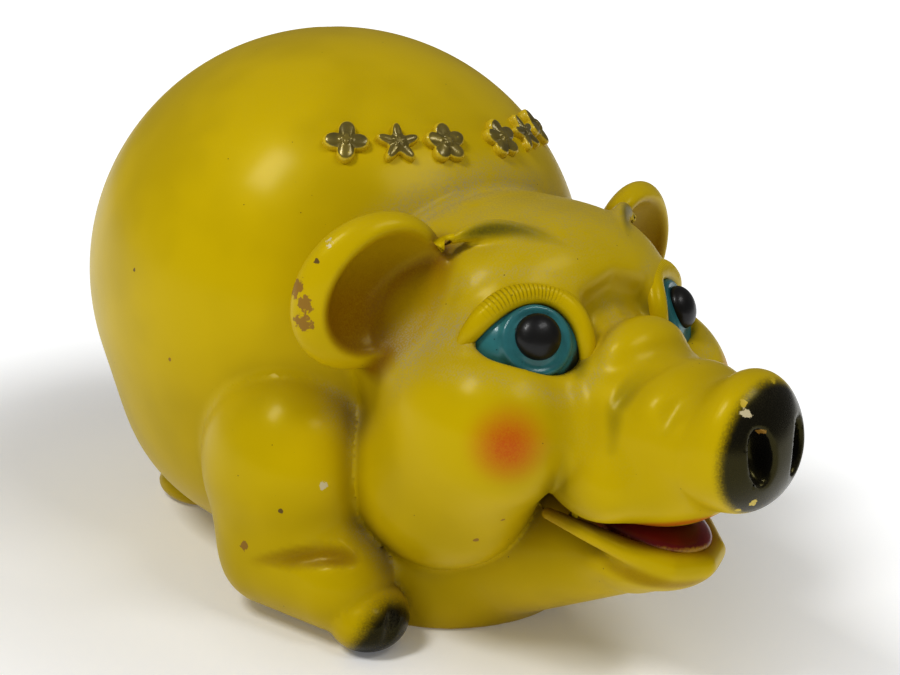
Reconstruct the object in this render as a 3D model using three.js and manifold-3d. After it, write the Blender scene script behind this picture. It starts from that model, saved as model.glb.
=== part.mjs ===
// A piggy bank that sits on its belly, in millimetres, +Z up. The pig faces -Y and its right side is -X.
// The torso and the head are hollow castings that open into each other at the neck. The jaw, legs, feet,
// ears, eyes, eyelids, nose, tail and gilt ornaments are pressed pieces set on those castings, with a thin
// joint of cement round each. Coins go in at a slot in the back, and come out past a rubber stopper in
// the belly, which pulls straight down.

import * as THREE from "three";
import { mergeVertices } from "three/addons/utils/BufferGeometryUtils.js";
import Module from "manifold-3d";

const wasm = await Module();
wasm.setup();

// ---- Driving dimensions --------------------------------------------------------------------------

const torsoWidth = 180;
const torsoLength = 182;
const torsoHeight = 178;
const torsoLift = 5; // from the table up to where the round torso would end without its base
const headWidth = 112; // of the skull, without the cheeks
const headLength = 88;
const headHeight = 90;
const snoutReach = 112; // from the middle of the skull to the face of the nose
const snoutDepth = 40; // of the snout just behind the nose
const noseWidth = 46;
const noseHeight = 42;
const noseThickness = 12;
const nostrilWidth = 10;
const nostrilHeight = 15;
const nostrilDepth = 8;
const jawReach = 76; // from the middle of the skull to the middle of the lower lip
const earLength = 58;
const earWidth = 40;
const earThickness = 24;
const eyeWidth = 40;
const eyeHeight = 34;
const eyeDepth = 17;
const pupilDiameter = 13.5;
const lidThickness = 6.4;
const legWidth = 52;
const legHeight = 74;
const hoofWidth = 28;
const hindFootLength = 34;
const tailThickness = 8;
const tailCurl = 19; // across the curl of the tail
const ornamentSize = 15;
const ornamentGap = 1.5; // between neighbours in the row
const ornamentRelief = 3;
const wall = 6;
const baseWall = 9; // the casting is thicker where it stands
const neckBore = 50;
const slotLength = 40;
const slotWidth = 5;
const stopperBore = 28;
const stopperFlange = 38;
const stopperFlangeDepth = 2.6;
const stopperLength = 14;
const stopperRecess = 4.2; // deeper than the flange, which keeps the flange off the table
const stopperClearance = 0.3;
const jointGap = 0.4; // the cement joint between neighbouring pieces

// ---- Materials -----------------------------------------------------------------------------------

const paint = (color, roughness, metalness = 0) =>
  new THREE.MeshStandardMaterial({ color, roughness, metalness });
const yellowLacquer = paint(0xd1b312, 0.25);
const blackLacquer = paint(0x1c1b18, 0.3);
const redLacquer = paint(0x8c1f14, 0.35);
const tealLacquer = paint(0x3f8f92, 0.2);
const giltPaint = paint(0x8a7a2c, 0.35, 0.7);
const darkRubber = paint(0x2a2826, 0.8);

// ---- Forms: lumps that melt into each other --------------------------------------------------------

const at = (x, y, z) => new THREE.Vector3(x, y, z);
const radians = THREE.MathUtils.degToRad;
const GROUND = 0;
const FAR = 400; // larger than any piece

// The least of two distances, rounded where they are within blend of each other.
function softMin(a, b, blend) {
  const share = THREE.MathUtils.clamp(0.5 + (0.5 * (b - a)) / blend, 0, 1);
  return b + (a - b) * share - blend * share * (1 - share);
}

// The frame of a lump: its middle, and its turn about X, Y and Z in degrees.
function frameOf(centre, turn = [0, 0, 0]) {
  const euler = new THREE.Euler(...turn.map(radians));
  return new THREE.Matrix4().makeRotationFromEuler(euler).setPosition(centre);
}

// A distance that treats both sides of the pig alike.
const onBothSides = (distance) => (p) => distance(at(Math.abs(p.x), p.y, p.z));

// An ellipsoid with its half-sizes in radii, in the given frame.
function lump(frame, radii) {
  const inverse = frame.clone().invert();
  return (p) => {
    const q = p.clone().applyMatrix4(inverse).divide(radii);
    const slope = q.clone().divide(radii).length() + Number.EPSILON;
    return (q.length() * (q.length() - 1)) / slope;
  };
}

// A limb that tapers from one ball to another, and is wider than it is deep by the factor widen.
function limb(start, end, startRadius, endRadius, widen = 1) {
  const squeeze = at(1 / widen, 1, 1);
  const from = start.clone().multiply(squeeze);
  const along = end.clone().multiply(squeeze).sub(from);
  return (p) => {
    const q = p.clone().multiply(squeeze).sub(from);
    const share = THREE.MathUtils.clamp(q.dot(along) / along.lengthSq(), 0, 1);
    const radius = THREE.MathUtils.lerp(startRadius, endRadius, share);
    return q.addScaledVector(along, -share).length() - radius;
  };
}

// A form starts from one distance, and each further one melts into it over its own blend.
function melt(first, ...others) {
  return (p) => others.reduce((d, [distance, blend]) => softMin(d, distance(p), blend), first(p));
}

// ---- Solids ----------------------------------------------------------------------------------------

// The solid that a closed geometry bounds.
function solid(geometry) {
  const bare = geometry.clone();
  bare.deleteAttribute("normal");
  bare.deleteAttribute("uv");
  const merged = mergeVertices(bare, 1e-3);
  const triVerts = new Uint32Array(merged.index.array);
  const vertProperties = merged.attributes.position.array;
  return new wasm.Manifold(new wasm.Mesh({ numProp: 3, vertProperties, triVerts }));
}

// The solid inside a form grown by a margin. Each point of a geodesic ball moves along its ray from the
// middle to where the form ends, found from outside by steps and then by halving.
function skin(form, middle, detail, margin = 0) {
  const reach = 150;
  const steps = 60;
  const halvings = 18;
  const ball = new THREE.IcosahedronGeometry(1, detail);
  const points = ball.attributes.position;
  const ray = at(0, 0, 0);
  const inside = (t) => form(middle.clone().addScaledVector(ray, t)) < margin;
  for (let i = 0; i < points.count; i++) {
    ray.fromBufferAttribute(points, i).normalize();
    let outer = reach;
    while (outer > 0 && !inside(outer - reach / steps)) outer -= reach / steps;
    let inner = outer - reach / steps;
    for (let k = 0; k < halvings; k++) {
      const half = (inner + outer) / 2;
      if (inside(half)) inner = half;
      else outer = half;
    }
    ray.multiplyScalar(inner).add(middle);
    points.setXYZ(i, ray.x, ray.y, ray.z);
  }
  return solid(ball);
}

// An ellipsoid as a solid.
function egg(frame, radii, detail, margin = 0) {
  const size = radii.clone().addScalar(margin);
  return solid(new THREE.IcosahedronGeometry(1, detail).scale(size.x, size.y, size.z).applyMatrix4(frame));
}

// A box as a solid, in the given frame.
const block = (frame, x, y, z) => solid(new THREE.BoxGeometry(x, y, z).applyMatrix4(frame));

// A solid of revolution about its frame's Z, from (radius, height) pairs. It starts and ends on the axis.
function turned(frame, profile, segments) {
  const outline = profile.map(([radius, height]) => new THREE.Vector2(radius, height));
  const lathe = new THREE.LatheGeometry(outline, segments).rotateX(Math.PI / 2);
  return solid(lathe.applyMatrix4(frame));
}

const cut = (piece, ...others) => others.reduce((left, other) => left.subtract(other), piece);

// What is left of a piece above a level.
const above = (piece, level) =>
  cut(piece, block(frameOf(at(0, 0, level - FAR / 2)), 2 * FAR, 2 * FAR, FAR));

// A named mesh whose own origin is its anchor.
function part(name, shape, material, anchor = at(0, 0, 0)) {
  const { numProp, numVert, vertProperties, triVerts } = shape.getMesh();
  const points = new Float32Array(numVert * 3);
  for (let i = 0; i < numVert; i++) {
    points.set(vertProperties.subarray(i * numProp, i * numProp + 3), i * 3);
  }
  const geometry = new THREE.BufferGeometry()
    .setAttribute("position", new THREE.BufferAttribute(points, 3))
    .setIndex(new THREE.BufferAttribute(triVerts, 1))
    .translate(-anchor.x, -anchor.y, -anchor.z);
  const mesh = new THREE.Mesh(geometry, material);
  mesh.name = name;
  mesh.position.copy(anchor);
  return mesh;
}

// ---- Torso -----------------------------------------------------------------------------------------

const torsoRadii = at(torsoWidth, torsoLength, torsoHeight).multiplyScalar(0.5);
const torsoMiddle = at(0, 0, torsoRadii.z + torsoLift);
const onTorso = (x, y, z) => at(x, y, z).multiply(torsoRadii).add(torsoMiddle);

const torsoForm = melt(
  lump(frameOf(torsoMiddle), torsoRadii),
  [lump(frameOf(onTorso(0, -0.11, -0.63)), torsoRadii.clone().multiply(at(0.8, 0.9, 0.5))), 24],
  [lump(frameOf(onTorso(0, -0.81, -0.81)), torsoRadii.clone().multiply(at(0.58, 0.48, 0.52))), 12],
);
const outerDetail = 8; // a skin and what its neighbours are cut with share their facets
const innerDetail = 4;
const smallDetail = 5;
const torsoSkin = (detail, margin) => skin(torsoForm, onTorso(0, -0.11, -0.4), detail, margin);
const torsoFit = torsoSkin(outerDetail, jointGap); // what its neighbours are cut with

// The coin slot lies fore and aft, a little behind the top of the back.
const slotLean = -20;
const slotFrame = new THREE.Matrix4()
  .makeRotationX(radians(slotLean))
  .premultiply(new THREE.Matrix4().setPosition(torsoMiddle))
  .multiply(new THREE.Matrix4().setPosition(0, 0, torsoRadii.z));

// The stopper's bore goes through the flat of the belly.
const stopperAxis = onTorso(0, -0.3, 0).setZ(GROUND);
const stopperFrame = frameOf(stopperAxis);

function stopperHole() {
  const bore = stopperBore / 2;
  const recess = stopperFlange / 2 + stopperClearance;
  const profile = [[0, -1], [recess, -1], [recess, stopperRecess], [bore, stopperRecess]];
  return turned(stopperFrame, [...profile, [bore, baseWall + 1], [0, baseWall + 1]], 28);
}

function stopperPlug() {
  const bore = stopperBore / 2 - stopperClearance;
  const flange = stopperFlange / 2 - stopperClearance;
  const top = stopperRecess - stopperClearance;
  const face = top - stopperFlangeDepth;
  const grip = flange * 0.55; // the hollow in the flange that a fingernail lifts
  const taper = 1.5;
  const profile = [[0, face + 1.2], [grip, face + 1.2], [grip + 1, face], [flange - 0.8, face]];
  const edge = [[flange, face + 0.8], [flange, top], [bore, top], [bore, top + stopperLength - taper]];
  return turned(stopperFrame, [...profile, ...edge, [bore - taper, top + stopperLength], [0, top + stopperLength]], 28);
}

function torsoShell() {
  const outside = above(torsoSkin(outerDetail, 0), GROUND);
  const hollow = above(torsoSkin(innerDetail, -wall), baseWall);
  const neck = new THREE.CylinderGeometry(neckBore / 2, neckBore / 2, torsoRadii.y, 24);
  neck.translate(0, -torsoRadii.y, 0).translate(0, 0, headMiddle.z);
  return cut(outside, hollow, solid(neck), block(slotFrame, slotWidth, slotLength, 4 * wall), stopperHole());
}

// ---- Head ------------------------------------------------------------------------------------------

const headRadii = at(headWidth, headLength, headHeight).multiplyScalar(0.5);
const headMiddle = onTorso(0, -0.967, 0.022);
const onHead = (x, y, z) => at(x, y, z).multiply(headRadii).add(headMiddle);
const headShare = (x, y, z) => at(x, y, z).multiply(headRadii);
const noseAxis = headMiddle.clone().add(at(0, -snoutReach, -6)); // the middle of the nose's face
const snoutRadius = snoutDepth / 2;
const snoutWiden = 1.25;

const headForm = melt(
  lump(frameOf(headMiddle), headRadii),
  [lump(frameOf(onHead(0, -0.45, 0.31)), headShare(0.82, 0.68, 0.69)), 10],
  [onBothSides(lump(frameOf(onHead(0.66, -0.68, -0.36)), headShare(0.46, 0.73, 0.62))), 8],
  [onBothSides(lump(frameOf(onHead(0.57, -0.23, -0.89), [-14, 0, 0]), headShare(0.5, 0.77, 0.71))), 12],
  [limb(onHead(0, -1, -0.27), noseAxis.clone().add(at(0, 8, 0)), snoutRadius + 7, snoutRadius, snoutWiden), 10],
  [lump(frameOf(onHead(0, -1.32, 0.11)), headShare(0.38, 0.2, 0.29)), 4],
  [lump(frameOf(onHead(0, -1.82, -0.09)), headShare(0.43, 0.23, 0.31)), 4],
);
const headSkin = (detail, margin) => skin(headForm, onHead(0, -0.55, -0.15), detail, margin);
const headFit = headSkin(outerDetail, jointGap);

// The eye's own frame: X to the side, Y up along the face, Z straight out.
const eyeOut = at(0.42, -0.8, 0.43).normalize();
const eyeSide = at(0, 0, 1).cross(eyeOut).normalize();
const eyeFrame = new THREE.Matrix4()
  .makeBasis(eyeSide, eyeOut.clone().cross(eyeSide), eyeOut)
  .setPosition(onHead(0.464, -0.773, 0.144));
const eyeBack = 2; // the flat back of the eye, in front of its middle

// The eye is a dome with a flat back, set in a socket of the head.
function eyeDome(margin = 0) {
  const arc = [];
  const rings = 6;
  const side = Math.acos(eyeBack / eyeDepth);
  for (let i = rings; i >= 0; i--) {
    const angle = (side * i) / rings;
    arc.push([Math.sin(angle), eyeDepth * Math.cos(angle)]);
  }
  const size = new THREE.Matrix4().makeScale(eyeWidth / 2 + margin, eyeHeight / 2 + margin, 1);
  const profile = [[0, eyeBack - margin], [arc[0][0], eyeBack - margin]];
  const dome = arc.map(([radius, height]) => [radius, height + margin]);
  dome[dome.length - 1][0] = 0;
  return turned(eyeFrame.clone().multiply(size), [...profile, ...dome], 20);
}

// The recess between the lids that shows the eye.
function eyeOpening() {
  const frame = eyeFrame.clone().multiply(new THREE.Matrix4().setPosition(0, 0, eyeDepth - 7));
  return egg(frame, at(eyeWidth / 2 - 1, eyeHeight / 2 - 2, 10), 3);
}

function pupil() {
  const radius = pupilDiameter / 2;
  const frame = eyeFrame.clone().multiply(new THREE.Matrix4().setPosition(0, 0, eyeDepth - 0.5));
  return cut(egg(frame, at(radius, radius, 3.2), 2), eyeDome(jointGap));
}

// The upper lid is a roll that runs over the eye from corner to corner.
function upperLid() {
  const points = [];
  const spans = 12;
  for (let i = 0; i <= spans; i++) {
    const angle = radians(THREE.MathUtils.lerp(-8, 188, i / spans));
    const across = Math.cos(angle);
    const up = Math.sin(angle);
    const out = eyeDepth - 3 - 7 * across * across - 2 * up * up;
    points.push(at((across * eyeWidth) / 2, (up * eyeHeight) / 2 - 1, out));
  }
  const round = new THREE.Shape().absarc(0, 0, lidThickness / 2, 0, 2 * Math.PI);
  const extrudePath = new THREE.CatmullRomCurve3(points);
  const roll = new THREE.ExtrudeGeometry(round, { extrudePath, steps: 16, curveSegments: 4 });
  return cut(solid(roll.applyMatrix4(eyeFrame)), headFit, eyeDome(jointGap));
}

function headShell() {
  const behindNose = frameOf(noseAxis.clone().add(at(0, noseThickness - FAR / 2, 0)));
  const front = block(behindNose, FAR, FAR, FAR);
  const innerFront = block(behindNose.clone().setPosition(noseAxis.clone().add(at(0, noseThickness + wall - FAR / 2, 0))), FAR, FAR, FAR);
  const sockets = [eyeDome(jointGap), eyeOpening()];
  const walls = eyeDome(wall);
  const hollow = cut(headSkin(innerDetail, -wall), innerFront, walls, walls.mirror([1, 0, 0]));
  const face = cut(headSkin(outerDetail, 0), front, ...sockets, ...sockets.map((s) => s.mirror([1, 0, 0])));
  return cut(face, torsoFit, hollow);
}

function nosePad() {
  const half = noseThickness - jointGap;
  const size = new THREE.Matrix4().makeScale(noseWidth / 2, noseHeight / 2, 1);
  const frame = frameOf(noseAxis, [90, 0, 0]);
  const profile = [[0, -half], [0.96, -half], [1, 2.5 - half], [1, -3.5], [0.93, -1], [0.84, 0], [0, 0]];
  const pad = turned(frame.clone().multiply(size), profile, 28);
  const nostrils = [-1, 1].map((side) => {
    const spot = noseAxis.clone().add(at(side * noseWidth * 0.21, 0, noseHeight * 0.02));
    return egg(frameOf(spot), at(nostrilWidth / 2, nostrilDepth, nostrilHeight / 2), 2);
  });
  return cut(pad, ...nostrils);
}

const lipMiddle = headMiddle.clone().add(at(0, -jawReach, -0.92 * headRadii.z));
const mouthRadii = at(20, 28, 10);
const mouthFrame = frameOf(lipMiddle.clone().add(at(0, -2, 12.5)));
const jawForm = melt(
  limb(onHead(0, -0.27, -1.5), lipMiddle.clone().add(at(0, 4, -1.5)), 29, 13, 1.2),
  [lump(frameOf(lipMiddle.clone().add(at(0, -2, -0.5)), [-4, 0, 0]), at(24, 24, 9)), 6],
);
const jawMiddle = onHead(0, -0.95, -1.2);
const jawFit = skin(jawForm, jawMiddle, smallDetail, jointGap);

const lowerJaw = () =>
  above(cut(skin(jawForm, jawMiddle, smallDetail), egg(mouthFrame, mouthRadii, 4), headFit, torsoFit), GROUND);

function tongue() {
  const bed = egg(mouthFrame, mouthRadii, 4, -jointGap);
  const pad = egg(frameOf(lipMiddle.clone().add(at(0, -2, 4.5)), [-8, 0, 0]), at(17, 24, 6), 3);
  return cut(pad.intersect(bed), headFit);
}

function ear() {
  const turn = [0, 62, 0];
  const middle = onHead(1.143, 0.09, 0.49);
  const radii = at(earWidth / 2, earThickness / 2, earLength / 2);
  const cup = middle.clone().add(at(-1, -14, 1));
  const cupRadii = radii.clone().sub(at(6, -1, 7));
  return cut(egg(frameOf(middle, turn), radii, 5), egg(frameOf(cup, turn), cupRadii, 4), headFit, torsoFit);
}

// ---- Legs and tail ---------------------------------------------------------------------------------

const elbow = onTorso(0.733, -0.615, -0.81);
const wrist = onTorso(0.667, -0.9, -0.84);
const legForm = melt(
  lump(frameOf(onTorso(0.69, -0.615, -0.47), [-8, 0, 0]), at(legWidth / 2, legWidth / 2 + 4, legHeight / 2)),
  [limb(elbow, wrist, 20, 17), 4],
);
const legMiddle = onTorso(0.7, -0.66, -0.62);
const legFit = skin(legForm, legMiddle, smallDetail, jointGap);
const foreleg = () => above(cut(skin(legForm, legMiddle, smallDetail), torsoFit, headFit, jawFit), GROUND);

function foreHoof() {
  const half = hoofWidth / 2;
  const hoof = egg(frameOf(onTorso(0.633, -1.04, -0.944), [0, 0, -25]), at(half, half - 1, half - 3), 3);
  return above(cut(hoof, legFit, torsoFit, jawFit, headFit), GROUND);
}

function hindFoot() {
  const half = hindFootLength / 2;
  const foot = egg(frameOf(onTorso(0.422, 0.374, -1)), at(half - 4, half, half / 2), 3);
  return above(cut(foot, torsoFit), GROUND);
}

// The tail is one curl that lies on the rump.
function tail() {
  const curl = tailCurl / 2;
  const points = [];
  const turns = 1.15;
  const spans = 16;
  for (let i = 0; i <= spans; i++) {
    const angle = 2 * Math.PI * turns * (i / spans) - Math.PI / 2;
    const out = THREE.MathUtils.lerp(-2, tailThickness * 0.9, i / spans);
    const reach = THREE.MathUtils.lerp(curl, curl * 0.62, i / spans);
    points.push(at(reach * Math.cos(angle), out, reach * Math.sin(angle)));
  }
  const round = new THREE.Shape().absarc(0, 0, tailThickness / 2, 0, 2 * Math.PI);
  const extrudePath = new THREE.CatmullRomCurve3(points);
  const roll = new THREE.ExtrudeGeometry(round, { extrudePath, steps: 20, curveSegments: 4 });
  const root = onTorso(0, 1, -0.15);
  return cut(solid(roll.translate(root.x, root.y, root.z)), torsoFit);
}

// ---- Gilt ornaments --------------------------------------------------------------------------------

// An outline whose radius swings between the outer size and a share of it, once for each point.
function rosette(points, inner, roundness) {
  const half = ornamentSize / 2;
  const samples = 4 * points;
  const outline = [];
  for (let i = 0; i < samples; i++) {
    const angle = (2 * Math.PI * i) / samples;
    const swing = (0.5 + 0.5 * Math.cos(points * angle)) ** roundness;
    const radius = half * (inner + (1 - inner) * swing);
    outline.push(new THREE.Vector2(-radius * Math.sin(angle), radius * Math.cos(angle)));
  }
  return new THREE.Shape(outline);
}

const star = () => rosette(5, 0.5, 1.4);
const blossom = () => rosette(5, 0.68, 0.5);
const clover = () => rosette(4, 0.55, 0.6);

// The ornaments stand in a row round the front of the back, from the pig's right to its left, with a
// wider gap at the middle. A place counts steps from there.
const ornamentRow = [
  { name: "clover", outline: clover, place: -2.75 },
  { name: "star", outline: star, place: -1.75 },
  { name: "blossom", outline: blossom, place: -0.75 },
  { name: "blossom", outline: blossom, place: 0.75 },
  { name: "star", outline: star, place: 1.75 },
  { name: "clover", outline: clover, place: 2.75 },
];
const ornamentRise = radians(41.5);
const torsoRelief = torsoSkin(outerDetail, ornamentRelief);

function ornament({ outline, place }) {
  const rowRadius = torsoRadii.x * Math.cos(ornamentRise);
  const turn = (place * (ornamentSize + ornamentGap)) / rowRadius;
  const level = Math.cos(ornamentRise);
  const out = at(Math.sin(turn) * level, -Math.cos(turn) * level, Math.sin(ornamentRise));
  const side = at(0, 0, 1).cross(out).normalize();
  const frame = new THREE.Matrix4()
    .makeBasis(side, out.clone().cross(side), out)
    .setPosition(torsoMiddle.clone().addScaledVector(out, torsoRadii.y * 0.8));
  const prism = new THREE.ExtrudeGeometry(outline(), { depth: torsoRadii.y * 0.5, bevelEnabled: false });
  return solid(prism.applyMatrix4(frame)).intersect(torsoRelief).subtract(torsoFit);
}

// ---- The whole pig ---------------------------------------------------------------------------------

// The pieces that come in pairs, modelled on the left side. The right side is its mirror image.
function sidePieces(side) {
  const group = new THREE.Group();
  group.add(
    part("foreleg_" + side, foreleg(), yellowLacquer, legMiddle),
    part("fore_hoof_" + side, foreHoof(), blackLacquer, wrist),
    part("hind_foot_" + side, hindFoot(), yellowLacquer),
    part("ear_" + side, ear(), yellowLacquer, onHead(1, 0, 0.49)),
    part("eyeball_" + side, eyeDome(), tealLacquer),
    part("pupil_" + side, pupil(), blackLacquer),
    part("upper_lid_" + side, upperLid(), yellowLacquer),
  );
  return group;
}

const head = new THREE.Group();
head.add(
  part("head_shell", headShell(), yellowLacquer, headMiddle),
  part("nose_pad", nosePad(), blackLacquer, noseAxis),
  part("lower_jaw", lowerJaw(), yellowLacquer, jawMiddle),
  part("tongue", tongue(), redLacquer, lipMiddle),
);

const ornaments = new THREE.Group();
ornamentRow.forEach((row, i) => ornaments.add(part(`gilt_${row.name}_${i + 1}`, ornament(row), giltPaint)));

const torso = new THREE.Group();
torso.add(
  part("torso_shell", torsoShell(), yellowLacquer, torsoMiddle),
  part("tail", tail(), yellowLacquer),
  part("stopper", stopperPlug(), darkRubber, stopperAxis),
  ornaments,
);

const left = sidePieces("left");
const right = sidePieces("right");
right.scale.x = -1;

// The origin is on the table, under the middle of the pig's box.
const pig = new THREE.Group();
pig.add(torso, head, left, right);
const box = new THREE.Box3().setFromObject(pig);
pig.position.y = -(box.min.y + box.max.y) / 2;

const bank = new THREE.Group();
bank.add(pig);

export default bank;
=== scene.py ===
"""A glazed yellow piggy bank with airbrushed details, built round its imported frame.

The skin of the pig is one smooth form, blended from ellipsoids and limbs. It is meshed once and
divided along its creases into the castings and the pressed pieces that a maker adds one at a time.
Shapes are worked out in millimetres in the pig's own frame, with the middle of the torso over the
origin, and written to meshes in metres in the frame of the part.
"""

import logging
import math
from collections.abc import Callable, Sequence
from dataclasses import dataclass, field
from enum import Enum

import bpy
import numpy as np
from mathutils import Matrix, Vector


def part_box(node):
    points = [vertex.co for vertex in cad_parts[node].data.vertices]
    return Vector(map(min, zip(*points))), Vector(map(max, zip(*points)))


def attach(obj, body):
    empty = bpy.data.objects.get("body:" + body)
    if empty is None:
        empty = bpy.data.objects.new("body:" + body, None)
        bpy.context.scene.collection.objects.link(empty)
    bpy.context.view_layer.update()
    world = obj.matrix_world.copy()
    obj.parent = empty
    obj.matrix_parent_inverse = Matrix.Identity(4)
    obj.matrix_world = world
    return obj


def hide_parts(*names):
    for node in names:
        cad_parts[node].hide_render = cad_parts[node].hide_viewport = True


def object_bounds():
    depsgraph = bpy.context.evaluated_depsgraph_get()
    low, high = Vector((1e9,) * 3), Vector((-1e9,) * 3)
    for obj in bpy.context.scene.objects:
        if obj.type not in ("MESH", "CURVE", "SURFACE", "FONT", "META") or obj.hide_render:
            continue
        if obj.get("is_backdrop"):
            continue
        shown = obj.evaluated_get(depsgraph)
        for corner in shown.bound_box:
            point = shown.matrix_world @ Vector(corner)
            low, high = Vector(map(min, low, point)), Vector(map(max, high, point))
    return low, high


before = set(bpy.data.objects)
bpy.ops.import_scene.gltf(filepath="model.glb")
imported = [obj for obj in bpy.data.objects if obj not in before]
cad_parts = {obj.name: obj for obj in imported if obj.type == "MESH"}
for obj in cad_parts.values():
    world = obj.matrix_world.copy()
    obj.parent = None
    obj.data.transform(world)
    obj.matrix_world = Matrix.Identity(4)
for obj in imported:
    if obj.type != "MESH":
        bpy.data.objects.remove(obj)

log = logging.getLogger("piggy_bank")

Array = np.ndarray
Field = Callable[[Array], Array]
Point = tuple[float, float, float]

MM = 0.001
GRID_BLOCK = 6  # cells along the side of a block that is worked out as one
POINTS_AT_ONCE = 300_000
SMALL_ISLAND = 60  # faces
GROOVES_START = (0.18, 0.32)  # where the lash grooves begin along a lid, and are full
GROOVES_END = (0.5, 0.64)  # where they begin to fade, and end
BODY = "bank"
STOPPER = "stopper"
CAD_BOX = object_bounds()


# ---- Fields: signed distances in millimetres ---------------------------------------------------


def turn_matrix(turn: Point) -> Array:
    """The rotation matrix for turns about X, Y and Z in degrees, X first."""
    matrix = Matrix.Identity(3)
    for axis, angle in zip("XYZ", turn):
        matrix = Matrix.Rotation(math.radians(angle), 3, axis) @ matrix
    return np.array(matrix)


def soft_union(a: Array, b: Array, blend: float) -> Array:
    """The least of two distances, rounded where they are within blend of each other."""
    share = np.clip(0.5 + 0.5 * (b - a) / blend, 0.0, 1.0)
    return b + (a - b) * share - blend * share * (1.0 - share)


def soft_cut(a: Array, b: Array, blend: float) -> Array:
    """Distance to what is left of a once b is taken away, with the edge rounded over blend."""
    return -soft_union(-a, b, blend)


def mirrored(points: Array) -> Array:
    """The points with both sides of the pig folded onto its left side."""
    folded = points.copy()
    folded[:, 0] = np.abs(folded[:, 0])
    return folded


def smooth_step(low: float, high: float, value: Array) -> Array:
    """A smooth ramp from 0 at low to 1 at high."""
    share = np.clip((value - low) / (high - low), 0.0, 1.0)
    return share * share * (3.0 - 2.0 * share)


@dataclass(frozen=True)
class Lump:
    """An ellipsoid.

    Attributes:
        centre: Its middle.
        radii: Its half-sizes.
        turn: Its turns about X, Y and Z in degrees.
        twin: Whether it stands on both sides of the pig.
        basis: Its axes as columns, in place of a turn.
    """

    centre: Point
    radii: Point
    turn: Point = (0.0, 0.0, 0.0)
    twin: bool = False
    basis: Array | None = None

    def __call__(self, points: Array) -> Array:
        """Distance from each point to the surface, negative inside."""
        local = (mirrored(points) if self.twin else points) - np.array(self.centre)
        if self.basis is not None:
            local = local @ self.basis
        elif any(self.turn):
            local = local @ turn_matrix(self.turn)
        radii = np.array(self.radii)
        scaled = local / radii
        length = np.sqrt((scaled**2).sum(1))
        slope = np.sqrt(((scaled / radii) ** 2).sum(1)) + 1e-9
        return length * (length - 1.0) / slope


@dataclass(frozen=True)
class Limb:
    """A limb that tapers from one ball to another.

    Attributes:
        start: Middle of the first ball.
        end: Middle of the second ball.
        start_radius: Radius of the first ball.
        end_radius: Radius of the second ball.
        widen: How many times wider than deep it is.
        twin: Whether it stands on both sides of the pig.
    """

    start: Point
    end: Point
    start_radius: float
    end_radius: float
    widen: float = 1.0
    twin: bool = False

    def __call__(self, points: Array) -> Array:
        """Distance from each point to the surface, negative inside."""
        squeeze = np.array([1.0 / self.widen, 1.0, 1.0])
        local = ((mirrored(points) if self.twin else points) - np.array(self.start)) * squeeze
        along = (np.array(self.end) - np.array(self.start)) * squeeze
        share = np.clip(local @ along / (along @ along), 0.0, 1.0)
        radius = self.start_radius + (self.end_radius - self.start_radius) * share
        return np.linalg.norm(local - share[:, None] * along, axis=1) - radius


@dataclass(frozen=True)
class Roll:
    """A round roll along a path of points.

    Attributes:
        path: The points of its middle line.
        radii: Its radius at each point.
        twin: Whether it stands on both sides of the pig.
    """

    path: tuple[Point, ...]
    radii: tuple[float, ...]
    twin: bool = True

    def __call__(self, points: Array) -> Array:
        """Distance from each point to the surface, negative inside."""
        folded = mirrored(points) if self.twin else points
        spans = zip(self.path, self.path[1:], self.radii, self.radii[1:])
        limbs = [Limb(*span)(folded) for span in spans]
        return np.min(limbs, axis=0)


def smooth_path(points: Sequence[Point], samples: int) -> Array:
    """Points spread evenly in parameter on a Catmull-Rom curve through the given points."""
    known = np.array(points, float)
    padded = np.vstack([2 * known[0] - known[1], known, 2 * known[-1] - known[-2]])
    places = np.linspace(0, len(known) - 1 - 1e-9, samples)
    result = []
    for place in places:
        i = int(place)
        t = place - i
        p0, p1, p2, p3 = padded[i : i + 4]
        result.append(
            0.5
            * (
                2 * p1
                + (p2 - p0) * t
                + (2 * p0 - 5 * p1 + 4 * p2 - p3) * t * t
                + (3 * p1 - p0 - 3 * p2 + p3) * t**3
            )
        )
    return np.array(result)


# ---- The pig's form --------------------------------------------------------------------------------


class Region(Enum):
    """The pieces that the skin is divided into."""

    TORSO = "torso_shell"
    HEAD = "head_shell"
    NOSE = "nose_pad"
    JAW = "lower_jaw"
    EAR = "ear"
    LEG = "foreleg"
    HOOF = "fore_hoof"
    HIND = "hind_foot"
    OPEN = "open"


# The folds across the snout, on its left side, from the middle outwards.
FOLD_MIDDLE: Point = (0.0, -163.5, 111.5)
FIRST_FOLD: tuple[Point, ...] = (
    (9.0, -162.0, 109.5),
    (18.0, -160.0, 104.0),
    (26.5, -160.0, 95.0),
    (29.0, -163.0, 84.0),
)
SECOND_FOLD: tuple[Point, ...] = ((15.0, -176.0, 105.0), (21.0, -176.5, 99.0), (26.0, -177.0, 91.0))
BRIDGE_FOLD: tuple[Point, ...] = (
    (0.0, -136.0, 120.5),
    (11.0, -136.5, 117.0),
    (18.5, -138.5, 108.0),
    (22.0, -143.0, 99.0),
)


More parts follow.
